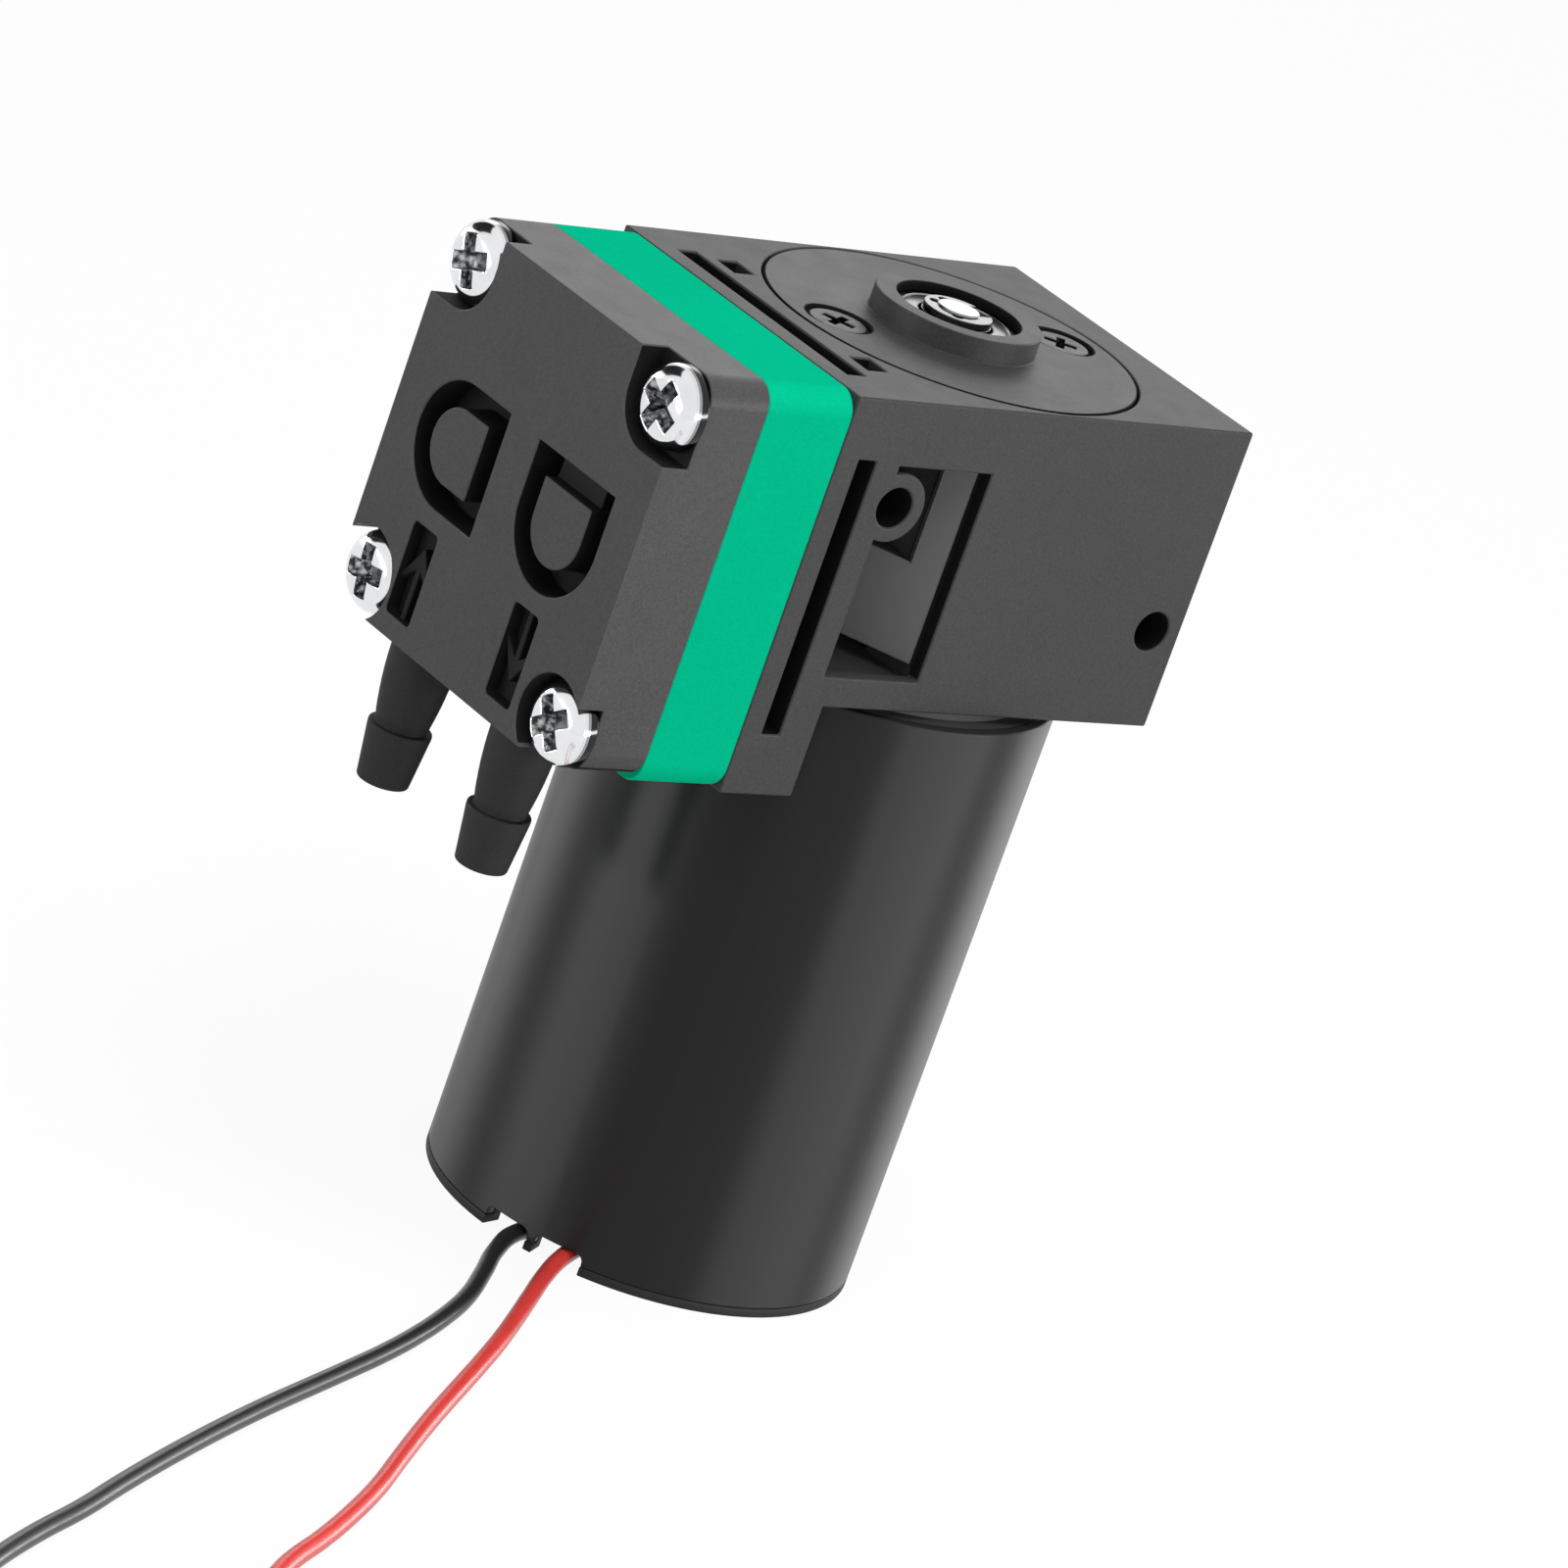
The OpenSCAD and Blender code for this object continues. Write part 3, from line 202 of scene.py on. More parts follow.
class PumpColours(bpy.types.PropertyGroup):
    """Colours of the finishes."""

    moulded: FloatVectorProperty(
        name="Black plastic",
        description="Colour of the moulded black parts",
        default=(0.031, 0.031, 0.032),
        subtype="COLOR",
    )
    plate: FloatVectorProperty(
        name="Plate",
        description="Colour of the middle plate",
        default=(0.001, 0.34, 0.18),
        subtype="COLOR",
    )
    case: FloatVectorProperty(
        name="Motor tube",
        description="Colour of the motor's coat",
        default=(0.003, 0.003, 0.0035),
        subtype="COLOR",
    )
    red: FloatVectorProperty(
        name="Red lead",
        description="Colour of the red lead",
        default=(0.53, 0.036, 0.03),
        subtype="COLOR",
    )
    black: FloatVectorProperty(
        name="Black lead",
        description="Colour of the black lead",
        default=(0.009, 0.009, 0.01),
        subtype="COLOR",
    )
    floor: FloatVectorProperty(
        name="Floor",
        description="Colour of the studio floor",
        default=(0.7, 0.7, 0.7),
        subtype="COLOR",
    )


class Flow:
    """A value inside a finish's nodes: sums with numbers and other values add Math nodes."""

    def __init__(self, finish, socket):
        self.finish = finish
        self.socket = socket

    def maths(self, operation, *terms):
        return self.finish.add("ShaderNodeMath", {"operation": operation}, dict(enumerate(terms)))

    def __add__(self, other):
        return self.maths("ADD", self, other)

    __radd__ = __add__

    def __sub__(self, other):
        return self.maths("SUBTRACT", self, other)

    def __rsub__(self, other):
        return self.maths("SUBTRACT", other, self)

    def __mul__(self, other):
        return self.maths("MULTIPLY", self, other)

    __rmul__ = __mul__

    def __truediv__(self, other):
        return self.maths("DIVIDE", self, other)

    def __pow__(self, other):
        return self.maths("POWER", self, other)

    def beside(self, name):
        """Another output of the node that this value comes from."""
        return Flow(self.finish, self.socket.node.outputs[name])

    def sine(self):
        return self.maths("SINE", self)

    def above(self, level):
        return self.maths("GREATER_THAN", self, level)

    def between(self, low, high):
        return self.maths("MINIMUM", self.maths("MAXIMUM", self, low), high)


class Finish:
    """A procedural material, or the world's own nodes, under construction."""

    def __init__(self, name, world=None):
        self.material = world or bpy.data.materials.new(name)
        self.material.use_nodes = True
        self.tree = self.material.node_tree
        self.tree.nodes.clear()

    def add(self, kind, settings=None, values=None, out=0):
        """One node: its settings first, then its inputs; gives the named output."""
        node = self.tree.nodes.new(kind)
        for key, value in (settings or {}).items():
            setattr(node, key, value)
        for key, value in (values or {}).items():
            if isinstance(value, Flow):
                self.tree.links.new(value.socket, node.inputs[key])
            else:
                node.inputs[key].default_value = value
        return Flow(self, node.outputs[out] if node.outputs else None)

    def place(self):
        return self.add("ShaderNodeTexCoord", out="Object")

    def stretched(self, scale):
        return self.add("ShaderNodeMapping", {}, {"Vector": self.place(), "Scale": scale})

    def noise(self, size, detail=2.0, vector=None):
        """Cloudy value around 0.5 with features of about that size in metres."""
        vector = vector or self.place()
        return self.add(
            "ShaderNodeTexNoise", {}, {"Vector": vector, "Scale": 1 / size, "Detail": detail}
        )

    def radius(self):
        """Distance from the Z axis."""
        x = self.add("ShaderNodeSeparateXYZ", {}, {"Vector": self.place()}, out="X")
        y = x.beside("Y")
        return (x * x + y * y) ** 0.5

    def round_waves(self, pitch):
        """Waves from -1 to 1 in rings about the Z axis."""
        return (self.radius() * (2 * math.pi / pitch)).sine()

    def seen(self):
        """1 for the rays of the camera, of mirrors and of glass, 0 for light on matt surfaces."""
        camera = self.add("ShaderNodeLightPath", out="Is Camera Ray")
        either = camera.maths("MAXIMUM", camera, camera.beside("Is Glossy Ray"))
        return camera.maths("MAXIMUM", either, camera.beside("Is Transmission Ray"))

    def worn(self, name):
        """A piece's own attribute, 0 where the piece doesn't have it."""
        return self.add("ShaderNodeAttribute", {"attribute_name": name}, out="Fac")

    def mix(self, share, first, second):
        return self.add(
            "ShaderNodeMix",
            {"data_type": "RGBA"},
            {0: share, 6: first, 7: second},
            out=2,
        )

    def bump(self, height, strength, depth):
        return self.add(
            "ShaderNodeBump", {}, {"Height": height, "Strength": strength, "Distance": depth}
        )

    def shade(self, **values):
        """Ends the material in a Principled shader with those inputs."""
        names = {key.replace("_", " "): value for key, value in values.items()}
        shader = self.add("ShaderNodeBsdfPrincipled", {}, names)
        self.add("ShaderNodeOutputMaterial", {}, {"Surface": shader})
        return self.material


def rgba(colour, factor=1.0):
    return (colour[0] * factor, colour[1] * factor, colour[2] * factor, 1.0)


def moulded_plastic(
    name, colour, roughness=0.5, grain=0.15 * MM, relief=0.5, gloss=0.16, speckle=0.58, rings=0.0
):
    """Satin moulded plastic: eroded grain, faint flow clouds, rubbed patches, painted shade in
    cavities and gaps, painted light on marked walls.
    """
    f = Finish(name)
    clouds = f.noise(9 * MM, 3)
    rubbed = f.noise(2.2 * MM, 4)
    pits = f.noise(grain, 2)
    tone = f.mix(clouds * 0.3 + pits * 0.7, rgba(colour, 1 - speckle), rgba(colour, 1 + speckle))
    # Painted light: marked faces are made about three times lighter, as if light fell into the bay.
    tone = f.mix(f.worn("smooth"), tone, f.mix(clouds, rgba(colour, 2.9), rgba(colour, 3.6)))
    # Painted shade: marked faces in cavities, gaps and on the barbs are darkened to 0.08 of the
    # colour and made rougher.
    painted_shade = f.worn("painted_shade")
    tone = f.mix(painted_shade, tone, rgba(colour, 0.08))
    height = pits * 0.8 + f.noise(grain * 3, 2) * 0.35
    if rings:
        height = height + f.round_waves(RING_PITCH) * rings
    return f.shade(
        Base_Color=tone,
        Roughness=roughness - 0.06 + rubbed * 0.12 + painted_shade * 0.3,
        Specular_IOR_Level=gloss,
        Normal=f.bump(height, relief, 0.02 * MM),
    )


def coated_metal(name, colour, roughness=0.45):
    """Baked satin coat on drawn steel: fine draw lines along Z and orange peel."""
    f = Finish(name)
    lines = f.noise(1.1 * MM, 4, f.stretched((1, 1, 0.05)))
    fine = f.noise(0.35 * MM, 3, f.stretched((1, 1, 0.03)))
    peel = f.noise(0.8 * MM, 2)
    tone = f.mix(f.noise(12 * MM, 2), rgba(colour, 0.8), rgba(colour, 1.25))
    return f.shade(
        Base_Color=tone,
        Roughness=roughness - 0.04 + lines * 0.08,
        Specular_IOR_Level=0.29,
        Anisotropic=0.9,
        Anisotropic_Rotation=0.25,
        Normal=f.bump(fine * 0.6 + peel * 0.4, 0.12, 0.012 * MM),
    )


def plated(name, colour, roughness=0.1):
    """Bright plating with faint polishing marks, painted shade with painted glints in recesses, and
    painted shade on undersides.
    """
    f = Finish(name)
    marks = f.noise(0.5 * MM, 4, f.stretched((1, 0.25, 1)))
    clouds = f.noise(1.6 * MM, 2)
    patches = ((f.noise(0.4 * MM, 4) - 0.44) * 5).between(0, 1)
    tone = f.mix(clouds, rgba(colour, 0.86), rgba(colour, 1.04))
    # Painted shade in the cross recesses, broken by lighter patches as painted glints.
    recess = f.worn("painted_shade")
    tone = f.mix(recess, tone, f.mix(patches, rgba(colour, 0.04), rgba(colour, 0.6)))
    # Painted shade on the lower sides of the pan heads.
    tone = f.mix(f.worn("shade"), tone, rgba(colour, 0.04))
    return f.shade(
        Base_Color=tone,
        Metallic=1.0,
        Roughness=roughness - 0.03 + marks * 0.1 + recess * 0.2,
        Normal=f.bump(marks, 0.06, 0.01 * MM),
    )


def turned_metal(name, colour, roughness=0.26, pitch=0.09 * MM):
    """Metal turned or ground about the Z axis: rings, faint tarnish, a shield between grooves of
    painted shade.
    """
    f = Finish(name)
    radius = f.radius()
    cloud = f.noise(1.2 * MM, 3)
    tone = f.mix(cloud, rgba(colour, 0.82), rgba(colour, 1.05))
    inner, outer = SHIELD_RADII
    # Painted shade in the grooves inside and outside the shield; the shield itself a duller grey.
    groove = radius.above(outer * MM) + (1 - radius.above(inner * MM))
    shield_and_groove_shade = f.mix(groove, rgba(colour, 0.42), rgba(colour, 0.05))
    tone = f.mix(f.worn("shield_and_groove_shade"), tone, shield_and_groove_shade)
    return f.shade(
        Base_Color=tone,
        Metallic=1.0,
        Roughness=roughness - 0.05 + cloud * 0.12,
        Normal=f.bump(f.round_waves(pitch) * 0.5 + f.noise(0.2 * MM, 2) * 0.5, 0.08, 0.006 * MM),
    )


def rough_metal(name, colour, roughness=0.45, grain=0.25 * MM, metallic=1.0):
    """Cast, sintered or stamped metal with an even grain."""
    f = Finish(name)
    grains = f.noise(grain, 3)
    tone = f.mix(grains * 0.6 + f.noise(4 * MM, 2) * 0.4, rgba(colour, 0.7), rgba(colour, 1.2))
    return f.shade(
        Base_Color=tone,
        Metallic=metallic,
        Roughness=roughness - 0.06 + grains * 0.14,
        Normal=f.bump(grains, 0.3, 0.02 * MM),
    )


def wound_copper(name, colour):
    """Varnished wire packs: rows of wire along Z."""
    f = Finish(name)
    z = f.add("ShaderNodeSeparateXYZ", {}, {"Vector": f.place()}, out="Z")
    rows = (z * (2 * math.pi / (0.34 * MM))).sine() * 0.5 + 0.5
    tone = f.mix(rows, rgba(colour, 0.35), rgba(colour, 1.1))
    return f.shade(
        Base_Color=tone,
        Metallic=0.9,
        Roughness=0.28 + f.noise(1 * MM, 2) * 0.12,
        Normal=f.bump(rows, 0.7, 0.05 * MM),
    )


def soft_rubber(name, colour, roughness=0.55):
    f = Finish(name)
    dust = f.noise(0.6 * MM, 4)
    tone = f.mix(dust, rgba(colour, 0.75), rgba(colour, 1.35))
    return f.shade(
        Base_Color=tone,
        Roughness=roughness - 0.05 + dust * 0.14,
        Normal=f.bump(f.noise(0.2 * MM, 2), 0.15, 0.01 * MM),
    )


def lead_jacket(name, colour):
    """Soft extruded insulation: slight waves from the die and a low sheen."""
    f = Finish(name)
    waves = f.noise(1.6 * MM, 3)
    tone = f.mix(waves, rgba(colour, 0.85), rgba(colour, 1.12))
    return f.shade(
        Base_Color=tone,
        Roughness=0.3 + f.noise(0.9 * MM, 3) * 0.16,
        Normal=f.bump(waves * 0.6 + f.noise(0.25 * MM, 2) * 0.4, 0.1, 0.02 * MM),
        Coat_Weight=0.1,
        Coat_Roughness=0.2,
    )


def finish_table(colours):
    """The finish of each of the record's material slots."""
    black = tuple(colours.moulded)
    return {
        "housing_black": moulded_plastic("housing plastic", black),
        # Painted light: the head cover is the housing's black made 1.5 times lighter, so it looks
        # more strongly lit.
        "head_black": moulded_plastic("head plastic", tuple(c * 1.5 for c in black), 0.48),
        "plate_green": moulded_plastic(
            "plate plastic", tuple(colours.plate), 0.5, relief=0.2, gloss=0.0, speckle=0.2
        ),
        "cover_black": moulded_plastic("cover plastic", black, 0.46, rings=0.45),
        "cap_black": moulded_plastic("end cap plastic", (0.014, 0.014, 0.015), 0.55),
        "rod_plastic": moulded_plastic("rod plastic", (0.6, 0.58, 0.5), 0.4, relief=0.2),
        "carbon": moulded_plastic("brush carbon", (0.03, 0.03, 0.032), 0.6, relief=0.6),
        "screw_chrome": plated("bright screws", (0.82, 0.83, 0.85)),
        "screw_black": plated("cover screws", (0.045, 0.045, 0.048), 0.42),
        "plain_steel": rough_metal("zinc plated steel", (0.6, 0.61, 0.64), 0.35, 0.12 * MM),
        "tinned_wire": rough_metal("tinned wire", (0.75, 0.76, 0.78), 0.25, 0.08 * MM),
        "bearing_steel": turned_metal("bearing steel", (0.3, 0.305, 0.315), 0.2),
        "brass": turned_metal("turned brass", (0.72, 0.5, 0.22)),
        "bushing_bronze": rough_metal("sintered bronze", (0.5, 0.31, 0.14), 0.5, 0.1 * MM),
        # Painted shade: the zinc flange is coloured near black, for the shade in the gap between
        # housing and motor.
        "flange_zinc": rough_metal("flange in painted shade", (0.03, 0.03, 0.032), 0.5, metallic=0.3),
        "core_steel": rough_metal("core steel", (0.3, 0.31, 0.33), 0.4),
        "ferrite": rough_metal("ferrite", (0.06, 0.06, 0.065), 0.6, 0.2 * MM, metallic=0.2),
        "copper": wound_copper("winding copper", (0.62, 0.24, 0.1)),
        "case_black": coated_metal("motor coat", tuple(colours.case)),
        "valve_rubber": soft_rubber("valve rubber", (0.3, 0.05, 0.025), 0.45),
        "diaphragm_rubber": soft_rubber("diaphragm rubber", (0.012, 0.012, 0.012)),
        "lead_black": lead_jacket("black jacket", tuple(colours.black)),
        "lead_red": lead_jacket("red jacket", tuple(colours.red)),
    }


FINISHES = {}


def node_slots():
    return {part["node"]: part["material_slot"] for part in frame["record"]["subparts"]}


def show_nodes(*names):
    """Keeps CAD nodes in view with the finish of their slot."""
    slots = node_slots()
    for name in names:
        mesh = NODES[name].data
        mesh.materials.clear()
        mesh.materials.append(FINISHES[slots[name]])


def body_of_node(node):
    return NODES[node]["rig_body"]


def add_piece(name, mesh, nodes, sharp=40, weighted=True):
    """A finished mesh that stands for CAD nodes, on their body and with their slot."""
    slot = node_slots()[nodes[0]]
    obj = bpy.data.objects.new(name, mesh)
    bpy.context.scene.collection.objects.link(obj)
    mesh.materials.clear()
    mesh.materials.append(FINISHES[slot])
    mesh.shade_smooth()
    mesh.set_sharp_from_angle(angle=math.radians(sharp))
    if weighted:
        even = obj.modifiers.new("even", "WEIGHTED_NORMAL")
        even.weight = 90
        even.keep_sharp = True
    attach(obj, body_of_node(nodes[0]))
    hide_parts(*nodes)
    return obj


def mesh_from(bm, name):
    mesh = bpy.data.meshes.new(name)
    bm.to_mesh(mesh)
    bm.free()
    return mesh


def round_edges(bm, radius, angle):
    """Rounds the edges between two faces that meet at more than the angle in degrees."""
    limit = math.radians(angle)
    sharp = [e for e in bm.edges if len(e.link_faces) == 2 and e.calc_face_angle(0) > limit]
    bmesh.ops.bevel(
        bm,
        geom=sharp,
        offset=radius,
        offset_type="OFFSET",
        segments=2,
        profile=0.5,
        affect="EDGES",
        clamp_overlap=False,
        material=-1,
    )


def softened_copy(node, radius, reshape=None):
    """A merged copy of a CAD node, its vertices moved by reshape, with its sharp edges rounded."""
    bm = bmesh.new()
    bm.from_mesh(NODES[node].data)
    bmesh.ops.remove_doubles(bm, verts=bm.verts, dist=0.0005 * MM)
    if reshape:
        for vert in bm.verts:
            vert.co = reshape(vert.co / MM) * MM
    bmesh.ops.dissolve_limit(
        bm,
        angle_limit=math.radians(0.3),
        verts=bm.verts,
        edges=bm.edges,
        use_dissolve_boundaries=False,
    )
    round_edges(bm, radius, 32)
    return mesh_from(bm, node + "_soft")


def add_softened(name, node, radius):
    return add_piece(name, softened_copy(node, radius), [node])


def mark_faces(mesh, name, share):
    """Gives each face the named attribute, from its middle in millimetres and its normal."""
    marks = mesh.attributes.new(name, "FLOAT", "FACE")
    for face, mark in zip(mesh.polygons, marks.data):
        mark.value = max(0.0, float(share(Vector(face.center) / MM, face.normal)))


def turned(bm, profile, steps=64):
    """Spins a profile of (radius, height) points in millimetres about the Z axis."""
    verts = [bm.verts.new((radius * MM, 0, height * MM)) for radius, height in profile]
    edges = [bm.edges.new(pair) for pair in zip(verts, verts[1:])]
    bmesh.ops.spin(
        bm,
        geom=verts + edges,
        axis=(0, 0, 1),
        cent=(0, 0, 0),
        angle=2 * math.pi,
        steps=steps,
        use_merge=True,
    )
    bmesh.ops.remove_doubles(bm, verts=bm.verts, dist=0.0005 * MM)
    bmesh.ops.recalc_face_normals(bm, faces=bm.faces)


def cross_cutter(length, width, depth):
    """A closed cross-shaped plug that narrows downwards."""
    along, across = RECESS_TAPER
    bm = bmesh.new()
    bmesh.ops.create_grid(bm, x_segments=3, y_segments=3, size=1)
    corners = [f for f in bm.faces if min(abs(v) for v in f.calc_center_median().xy) > 0.5]
    bmesh.ops.delete(bm, geom=corners, context="FACES")
    for vert in bm.verts:
        for axis in (0, 1):
            reach = length if abs(vert.co[axis]) > 0.9 else width
            vert.co[axis] = math.copysign(reach / 2, vert.co[axis])
    made = bmesh.ops.extrude_face_region(bm, geom=bm.faces[:], use_keep_orig=True)
    low = [g for g in made["geom"] if isinstance(g, bmesh.types.BMVert)]
    bmesh.ops.translate(bm, verts=low, vec=(0, 0, -depth))
    for vert in low:
        for axis in (0, 1):
            at_tip = abs(vert.co[axis]) > width / 2 + 1e-9
            vert.co[axis] *= along if at_tip else across
    bmesh.ops.recalc_face_normals(bm, faces=bm.faces)
    return bm


def carved(mesh, cutter_mesh):
    """The first mesh with the second one cut out of it."""
    scene = bpy.context.scene.collection
    body = bpy.data.objects.new("carved_body", mesh)
    tool = bpy.data.objects.new("carving_tool", cutter_mesh)
    scene.objects.link(body)
    scene.objects.link(tool)
    cut = body.modifiers.new("cut", "BOOLEAN")
    cut.object = tool
    cut.operation = "DIFFERENCE"
    cut.solver = "EXACT"
    bpy.context.view_layer.update()
    result = body.evaluated_get(bpy.context.evaluated_depsgraph_get())
    made = bpy.data.meshes.new_from_object(result)
    bpy.data.objects.remove(body)
    bpy.data.objects.remove(tool)
    return made


def recessed_screw(name, profile, steps, recess, top, rounding):
    """A turned screw with a cross recess cut from the top down; sizes in millimetres."""
    bm = bmesh.new()
    turned(bm, profile, steps)
    length, width, depth = recess
    cutter = cross_cutter(length * MM, width * MM, depth * MM)
    bmesh.ops.translate(cutter, verts=cutter.verts, vec=(0, 0, top * MM))
    screw = carved(mesh_from(bm, name), mesh_from(cutter, name + "_cross"))
    bm = bmesh.new()
    bm.from_mesh(screw)
    bmesh.ops.remove_doubles(bm, verts=bm.verts, dist=0.001 * MM)
    round_edges(bm, rounding * MM, 28)
    return mesh_from(bm, screw.name + "_soft")


def placed_copies(mesh, matrices, name):
    """One mesh that holds a copy of the given one at each matrix."""
    bm = bmesh.new()
    for matrix in matrices:
        one = bmesh.new()
        one.from_mesh(mesh)
        bmesh.ops.transform(one, matrix=matrix, verts=one.verts)
        moved = mesh_from(one, name + "_one")
        bm.from_mesh(moved)
        bpy.data.meshes.remove(moved)
    return mesh_from(bm, name)


class PUMP_OT_studio(bpy.types.Operator):
    """Camera at the picture's angle, lamps, white surroundings and a pale floor"""

    bl_idname = "pump.studio"
    bl_label = "Studio"

    def execute(self, context):
        right, down = Vector(CAMERA_RIGHT), Vector(CAMERA_DOWN)
        turn = Matrix((right, -down, right.cross(-down))).transposed()
        data = bpy.data.cameras.new("camera")
        data.lens = CAMERA_LENS
        data.sensor_width = 36
        data.clip_start = 0.02
        data.clip_end = 20
        camera = bpy.data.objects.new("camera", data)
        camera.matrix_world = Matrix.Translation(CAMERA_AT) @ turn.to_4x4()
        context.scene.collection.objects.link(camera)
        context.scene.camera = camera
        context.scene.view_settings.view_transform = "Standard"
        self.lamps(context)
        self.floor(context)
        self.dark_card(context)
        self.surroundings(context)
        return {"FINISHED"}

    def facing(self, target, away, distance):
        """The place at that distance from the target, turned to face it."""
        turn = away.to_track_quat("Z", "Y").to_matrix().to_4x4()
        return Matrix.Translation(Vector(target) + away * distance) @ turn

    def lamps(self, context):
        """Lamps that either light matt surfaces or show in glossy ones, or both."""
        lamps = (
            ("top_lamp", -5, 76, 0.6, (0.5, 0.5), 6.4, True, False),
            ("fill_lamp", -18, 13, 0.31, (0.11, 0.11), 13.0, True, False),
            ("left_lamp", -103, 4, 0.55, (0.42, 0.07), 27.0, False, True),
            ("right_lamp", 28, 4, 0.6, (0.62, 0.07), 25.0, False, True),
            ("left_rim_lamp", -160, 4, 0.6, (0.3, 0.1), 10.0, False, True),
            ("right_rim_lamp", 92, 4, 0.6, (0.3, 0.1), 11.0, False, True),
            ("back_lamp", 137, 26, 0.65, (0.45, 0.22), 2.1, True, True),
        )
        for name, azimuth, elevation, distance, size, glow, lights, mirrored in lamps:
            data = bpy.data.lights.new(name, "AREA")
            data.shape = "RECTANGLE"
            data.size, data.size_y = size
            data.energy = glow * math.pi * size[0] * size[1]
            lamp = bpy.data.objects.new(name, data)
            flat = math.cos(math.radians(elevation))
            away = Vector((
                flat * math.cos(math.radians(azimuth)),
                flat * math.sin(math.radians(azimuth)),
                math.sin(math.radians(elevation)),
            ))
            lamp.matrix_world = self.facing(LAMPS_FACE, away, distance)
            lamp.visible_diffuse = lights
            lamp.visible_glossy = mirrored
            context.scene.collection.objects.link(lamp)

    def floor(self, context):
        """A pale disc that looks almost white and still takes the part's shadow."""
        bm = bmesh.new()
        bmesh.ops.create_circle(bm, cap_ends=True, segments=96, radius=1.6)
        bmesh.ops.translate(bm, verts=bm.verts, vec=(0, 0, -0.00002))
        floor = bpy.data.objects.new("floor", mesh_from(bm, "floor"))
        context.scene.collection.objects.link(floor)
        f = Finish("floor")
        matt = f.add(
            "ShaderNodeBsdfDiffuse", {}, {"Color": rgba(context.scene.pump_colours.floor)}
        )
        white = f.add("ShaderNodeEmission", {}, {"Color": (1, 1, 1, 1), "Strength": 1.0})
        surface = f.add("ShaderNodeMixShader", {}, {0: f.seen() * 0.93, 1: matt, 2: white})
        f.add("ShaderNodeOutputMaterial", {}, {"Surface": surface})
        floor.data.materials.append(f.material)

    def dark_card(self, context):
        """A near black card beside the stage that shows in reflections only."""
        bm = bmesh.new()
        bmesh.ops.create_grid(bm, x_segments=1, y_segments=1, size=CARD_HALF_SIZE)
        away = Vector(CARD_DIRECTION).normalized()
        place = self.facing(CARD_FACES, away, CARD_DISTANCE)
        bmesh.ops.transform(bm, matrix=place, verts=bm.verts)
        card = bpy.data.objects.new("dark_card", mesh_from(bm, "dark_card"))
        context.scene.collection.objects.link(card)
        f = Finish("dark card")
        black = f.add("ShaderNodeEmission", {}, {"Color": (0.02, 0.02, 0.02, 1), "Strength": 1.0})
        f.add("ShaderNodeOutputMaterial", {}, {"Surface": black})
        card.data.materials.append(f.material)
        card.visible_camera = card.visible_diffuse = card.visible_shadow = False

    def surroundings(self, context):
        """White where it is seen or mirrored, and a dim even light on matt surfaces."""
        world = bpy.data.worlds.new("surroundings")
        context.scene.world = world
        f = Finish("surroundings", world)
        white = (1, 1, 1, 1)
        dim = f.add("ShaderNodeBackground", {}, {"Color": white, "Strength": 0.2})
        bright = f.add("ShaderNodeBackground", {}, {"Color": white, "Strength": 1.0})
        blend = f.add("ShaderNodeMixShader", {}, {0: f.seen(), 1: dim, 2: bright})
        f.add("ShaderNodeOutputWorld", {}, {"Surface": blend})


def coil_line(centre, turns):
    """Points of a flat spiral that winds inwards, in millimetres, and of its straight last end."""
    points = []
    count = round(360 * turns / COIL_STEP)
    for i in range(count + 1):
        share = turns * i / count
        angle = math.radians(COIL_START + 360 * share)
        radius = COIL_R - share * LEAD_PITCH
        points.append((centre[0] + radius * math.cos(angle), centre[1] + radius * math.sin(angle)))
    heading = angle + math.radians(90 + COIL_END_TURN)
    x, y = points[-1]
    points.append((x + COIL_END_L * math.cos(heading), y + COIL_END_L * math.sin(heading)))
    return points


def line_length(points, steps=8):
    """Length in metres of the smooth line that a lead follows through its points."""
    total, last = 0.0, None
    for i in range(len(points) - 1):
        a, b = points[max(i - 1, 0)], points[i]
        c, d = points[i + 1], points[min(i + 2, len(points) - 1)]
        for s in range(steps + 1):
            t = s / steps
            bow = (2 * a - 5 * b + 4 * c - d) * t**2 + (3 * b - a - 3 * c + d) * t**3
            here = 0.5 * (2 * b + (c - a) * t + bow)
            total += (here - last).length if last else 0.0
            last = here
    return total


def swept_ring(bm, points, radius, sides):
    """A closed round rod through the points."""
    ahead = (points[1] - points[0]).normalized()
    turn = Vector((0, 0, 1)).rotation_difference(ahead).to_matrix().to_4x4()
    place = Matrix.Translation(points[0]) @ turn
    made = bmesh.ops.create_circle(
        bm, cap_ends=True, segments=sides, radius=radius, matrix=place
    )
    ring = made["verts"]
    face = ring[0].link_faces[0]
    bmesh.ops.reverse_faces(bm, faces=[face])
    edges = list(face.edges)
    for before, after in zip(points, points[1:]):
        made = bmesh.ops.extrude_edge_only(bm, edges=edges)
        new = [g for g in made["geom"] if isinstance(g, bmesh.types.BMVert)]
        edges = [g for g in made["geom"] if isinstance(g, bmesh.types.BMEdge)]
        edges = [e for e in edges if e.verts[0] in new and e.verts[1] in new]
        bmesh.ops.translate(bm, verts=new, vec=after - before)
    bmesh.ops.contextual_create(bm, geom=edges)


